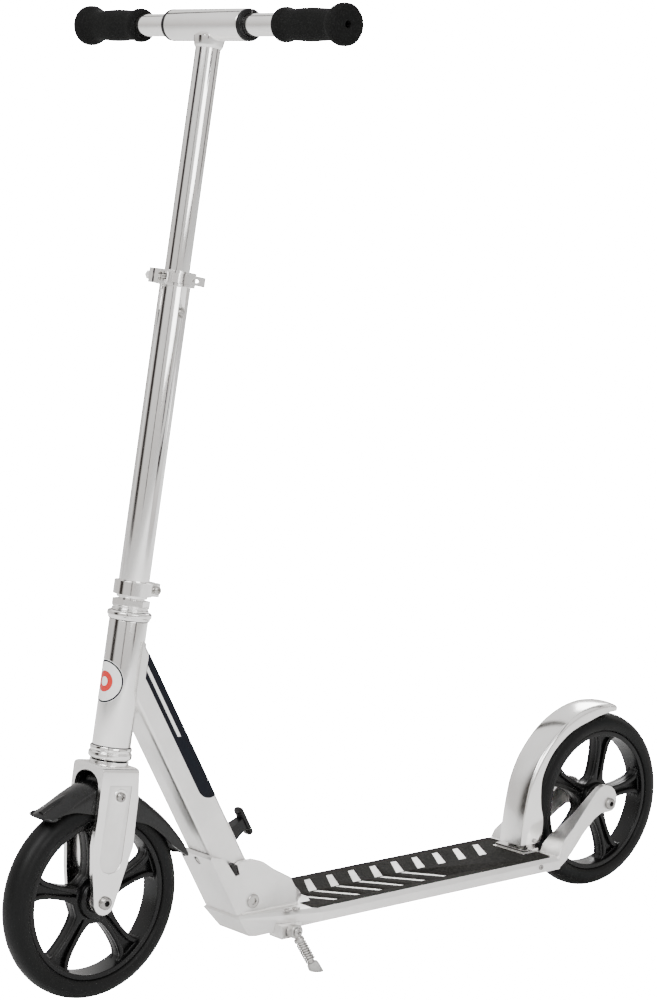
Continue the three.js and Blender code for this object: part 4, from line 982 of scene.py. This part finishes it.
def weld_bead(name, path, r, place, body):
    """Overlapping ripples along a seam."""
    bm = bmesh.new()
    points = []
    for a, b in zip(path, path[1:]):
        a, b = Vector(a), Vector(b)
        steps = max(int((b - a).length / 1.9), 1)
        points += [a.lerp(b, k / steps) for k in range(steps)]
    points.append(Vector(path[-1]))
    for i, point in enumerate(points):
        ball = bmesh.ops.create_icosphere(bm, subdivisions=2, radius=r * MM)
        ahead = (points[min(i + 1, len(points) - 1)] - points[max(i - 1, 0)]).normalized()
        squash = Matrix.Scale(0.62, 4, ahead)
        bmesh.ops.transform(bm, matrix=Matrix.Translation(point * MM) @ squash,
                            verts=ball["verts"])
    bead = from_bmesh(name, bm, place, 60)
    finish_piece(bead, WELD_FINISH, body=body)


for side in (1, -1):
    weld_bead(f"bracket_weld_{side}",
              [(110, 29 * side, FLANGE_TOP), (180, 26.8 * side, FLANGE_TOP)], 2.3, GROUND,
              "deck_assembly")


def head_weld():
    """The seam where the square tube meets the round head tube."""
    rows = []
    to_steer = STEERING.inverted() @ TUBE
    back = to_steer.to_3x3() @ Vector((0, 0, 1))
    up, down = range(-15, 16, 5), range(15, -16, -5)
    for n, y in ([(TUBE_HALF, k) for k in up] + [(k, 18.3) for k in down]
                 + [(-TUBE_HALF, k) for k in down] + [(k, -18.3) for k in up]):
        start = to_steer @ Vector((n * MM, y * MM, 0.1))
        reach = math.sqrt(max(HEAD_TUBE_R * HEAD_TUBE_R - y * y, 0))
        t = (-reach * MM - start.x) / back.x
        rows.append((start + back * t) / MM)
    rows.append(rows[0])
    return [tuple(p) for p in rows]


weld_bead("head_weld", head_weld(), 1.9, STEERING, "front_frame")

# ---- prints

BADGE_HEIGHT = 214


def curved_ring(name, r_in, r_out, lift, material):
    """A flat ring laid round the front of the head tube."""
    bm = bmesh.new()
    rows = []
    for k in range(9):
        q = r_in + (r_out - r_in) * k / 8
        row = []
        for i in range(64):
            a = 2 * math.pi * i / 64
            bend = q * math.cos(a) / HEAD_TUBE_R
            out = HEAD_TUBE_R + lift
            row.append(bm.verts.new((out * math.cos(bend) * MM, out * math.sin(bend) * MM,
                                     (BADGE_HEIGHT + q * math.sin(a)) * MM)))
        rows.append(row)
    for one, two in zip(rows, rows[1:]):
        for i in range(64):
            j = (i + 1) % 64
            bm.faces.new((one[i], two[i], two[j], one[j]))
    finish_piece(from_bmesh(name, bm, STEERING, 60), material, body="front_frame")


def badge():
    """A plain round badge: a dark line round a white face with a red ring in it."""
    curved_ring("badge_face", 0.05, 21.2, 0.18, WHITE_PRINT)
    curved_ring("badge_line", 19.2, 20.7, 0.30, NAVY_PRINT)
    curved_ring("badge_ring", 4.6, 10.2, 0.30, RED_PRINT)


def side_print(name, outline, lift, material):
    """A thin print on each side face of the square tube."""
    for side in (1, -1):
        bm = bmesh.new()
        y = side * (TUBE_HALF + lift) * MM
        face = bm.faces.new([bm.verts.new((n * MM, y, t * MM)) for n, t in outline])
        bmesh.ops.triangulate(bm, faces=[face])
        finish_piece(from_bmesh(f"{name}_{side}", bm, TUBE), material, body="front_frame")


def side_prints():
    curve = [(-1.6 - 15.4 * (1 - math.cos(a)), 140 - 17 * math.sin(a))
             for a in (math.pi / 2 * k / 12 for k in range(13))]
    band = [(-17.4, 300.2), (-11.6, 293.0), (-6.0, 286.2), (-1.6, 280.6), *curve, (-17.4, 123)]
    side_print("side_band", band, 0.08, NAVY_PRINT)
    line = [(-9.9, 290.4), (-6.4, 286.0), (-6.4, 205), (-9.9, 202.5)]
    side_print("side_line", line, 0.14, WHITE_PRINT)


side_prints()
badge()

# ---- painted shade: dark pieces in the notch, the headset joints and the bolt recesses


def socket_shade(name, place, body):
    """The dark bottom of a bolt's recess."""
    finish_piece(lathe(name, [(0.01, 0), (3.1, 0), (3.1, 0.12), (0.01, 0.12)], place, 24),
                 SHADE_BLACK, body=body)


def notch_shade():
    """Painted shade: dark blocks in the bracket's notch, where the hole there lies in shade."""
    for side in (1, -1):
        low, high = sorted((side * 19.6, side * 24.6))
        # These black blocks are painted shade in the notch, not a real part.
        shade_block = block(f"notch_stub_{side}", (0.2, low, 36.2), (4.6, high, 50), TUBE)
        bevel(shade_block, 0.8, 2)
        foot = block(f"notch_shade_foot_{side}", (-2.6, low, 41), (0.6, high, 45.6), TUBE)
        bevel(foot, 0.6, 2)
        joined(f"notch_stub_look_{side}", [shade_block, foot], 32, GUARD_PLASTIC, body="deck_assembly")


notch_shade()
# Painted shade: thin black rings fill the joints between the headset parts, where shade falls.
for name, inner, outer, low, high, body in (
        ("lower_joint_shade", 17, 19.6, 150.55, 151.25, "front_frame"),
        ("upper_joint_shade", 17, 19.6, 275.15, 275.95, "front_frame"),
        ("crown_joint_shade", 13, 17.6, 137.0, 138.7, "front_frame"),
        ("adjuster_joint_shade", 13, 18.1, 283.9, 284.45, "steering_column"),
        ("nut_joint_shade", 13, 16.2, 289.6, 290.15, "steering_column")):
    finish_piece(lathe(name, ring_outline(inner, outer, low, high, 0.1), STEERING, 80), SHADE_BLACK,
                 body=body)
socket_shade("front_socket", to_left(0, FRONT_HEAD_AT + 1.4, 0, STEERING), "steering_column")
socket_shade("rear_socket", to_left(0, REAR_HEAD_AT + 1.4, 0, REAR_AXLE), "deck_assembly")

# ---- grit sheet


STRIPE_START, STRIPE_PITCH = 95.5, 31
SHEET_LOW, SHEET_THICKNESS = 59.03, 0.4


def grit_sheet():
    """The sheet lies thin and flush on the deck, with bare stripes cut out of it."""
    piece = copy_of("grip_tape", 0)
    for i in range(6):
        x = STRIPE_START - STRIPE_PITCH * i
        wide = [(x - 7.5, 1.2), (x + 1.6, 1.2), (x - 27.4, 39.4), (x - 35, 39.4)]
        carve(piece, prism("stripe", wide, 50, 70))
    low = min(v.co.z for v in piece.data.vertices)
    high = max(v.co.z for v in piece.data.vertices)
    for v in piece.data.vertices:
        v.co.z = (SHEET_LOW + SHEET_THICKNESS * (v.co.z - low) / (high - low)) * MM
    finish_piece(piece, GRIT, "grip_tape")


grit_sheet()

# ---- plain pieces

EASED = {
    "deck": (DECK_FINISH, 0.5), "fold_bracket": (SATIN, 0.9), "downtube": (SATIN, 0.8),
    "rear_arm_left": (SATIN, 1.2), "rear_arm_right": (SATIN, 1.2),
    "fork": (FORK_FINISH, 1.3), "fender_bracket": (FENDER_FINISH, 0.4),
}
SLOT_MATERIAL = {
    "polished_aluminium": POLISHED, "satin_aluminium": SATIN, "brushed_fender": FENDER_FINISH,
    "bright_steel": STEEL, "black_plastic": WHEEL_PLASTIC, "tyre": TYRE_RUBBER,
    "black_foam": FOAM, "grip_sheet": GRIT, "foot_rubber": FOOT_RUBBER,
}
for node, (finish, width) in EASED.items():
    finish_piece(copy_of(node, width), finish, node)
for node, obj in frame["nodes"].items():
    if not obj.hide_render:
        finish_piece(copy_of(node, 0), SLOT_MATERIAL[NODE_SLOT[node]], node)

# ---- camera, floor and light


CAMERA_AT = (1.93171, 2.14192, 0.87081)
CAMERA_TURN = (-2.289634833, -0.139082380, 0.029874229)
CAMERA_LENS = 36 * 2792.718 / 1000
WHITE_OUT = 24.0  # how bright the floor and the room are when looked at directly
ROOM_LIGHT = 1.25
# Bearing and half width of each dark upright in the room, in radians.
UPRIGHTS = ((-2.75, 0.16), (-0.35, 0.3), (1.75, 0.1), (2.6, 0.13), (-1.7, 0.1), (0.75, 0.06))


def add_camera():
    yaw, pitch, roll = CAMERA_TURN
    ahead = Vector((math.cos(pitch) * math.cos(yaw), math.cos(pitch) * math.sin(yaw),
                    math.sin(pitch)))
    right = ahead.cross(Vector((0, 0, 1))).normalized()
    up = right.cross(ahead)
    side = math.cos(roll) * right + math.sin(roll) * up
    top = -math.sin(roll) * right + math.cos(roll) * up
    camera = bpy.data.objects.new("camera", bpy.data.cameras.new("camera"))
    bpy.context.scene.collection.objects.link(camera)
    turn = Matrix((side, top, -ahead)).transposed().to_4x4()
    camera.matrix_world = Matrix.Translation(CAMERA_AT) @ turn
    camera.data.sensor_width = 36
    camera.data.lens = CAMERA_LENS
    camera.data.clip_end = 60
    bpy.context.scene.camera = camera


def seen_by_camera(tree, strength):
    path = tree.nodes.new("ShaderNodeLightPath")
    return math_node(tree, "MULTIPLY", path.outputs["Is Camera Ray"], strength)


def add_floor():
    """A pale floor that fades into the white of the room when looked at directly."""
    bm = bmesh.new()
    bmesh.ops.create_grid(bm, x_segments=1, y_segments=1, size=14)
    floor = from_bmesh("floor", bm)
    material, tree, shader = start_material("pale_floor")
    tone = ramp(tree, noise(tree, object_space(tree), 3.0), 0, 1)
    feed(tree, shader, Roughness=0.95, Specular_IOR_Level=0.1, Emission_Color=(1, 1, 1, 1),
         Base_Color=blend_colour(tree, tone, (0.86, 0.86, 0.86), (0.89, 0.89, 0.89)),
         Emission_Strength=seen_by_camera(tree, WHITE_OUT))
    floor.data.materials.append(material)


def add_light(name, place, size, power):
    data = bpy.data.lights.new(name, "AREA")
    data.shape = "RECTANGLE"
    data.size, data.size_y = size
    data.energy = power
    light = bpy.data.objects.new(name, data)
    bpy.context.scene.collection.objects.link(light)
    light.location = place
    aim = Vector((0, 0, 0.4)) - Vector(place)
    light.rotation_euler = aim.to_track_quat("-Z", "Y").to_euler()


def add_world():
    """A pale room with darker uprights for the polished metal to mirror."""
    world = bpy.data.worlds.new("studio")
    bpy.context.scene.world = world
    world.use_nodes = True
    tree = world.node_tree
    coords = tree.nodes.new("ShaderNodeTexCoord")
    way = add_node(tree, "ShaderNodeSeparateXYZ", Vector=coords.outputs["Generated"]).outputs
    stripes = dark_uprights(tree, math_node(tree, "ARCTAN2", way["Y"], way["X"]))
    rise = ramp(tree, way["Z"], -0.25, 0.55)
    pale = blend_colour(tree, rise, (0.50, 0.47, 0.45), (1.0, 0.995, 0.985))
    colour = blend_colour(tree, stripes, pale, (0.030, 0.026, 0.023))
    seen = blend_colour(tree, seen_by_camera(tree, 1.0), colour, (1.0, 1.0, 1.0))
    direct = seen_by_camera(tree, WHITE_OUT)
    feed(tree, tree.nodes["Background"], Color=seen,
         Strength=math_node(tree, "ADD", direct, ROOM_LIGHT))


def dark_uprights(tree, angle):
    """Dark uprights at a few compass bearings, as masks added together."""
    total = None
    for bearing, width in UPRIGHTS:
        away = math_node(tree, "ABSOLUTE", math_node(tree, "SUBTRACT", angle, bearing))
        band = ramp(tree, away, width, width * 0.45)
        total = band if total is None else math_node(tree, "MAXIMUM", total, band)
    return total


add_camera()
add_floor()
add_world()
add_light("key", (2.6, 0.6, 3.0), (1.6, 1.6), 110)
add_light("fill", (0.5, 3.2, 1.6), (1.8, 1.4), 48)
add_light("rim", (-2.4, -1.6, 2.2), (1.4, 1.4), 60)
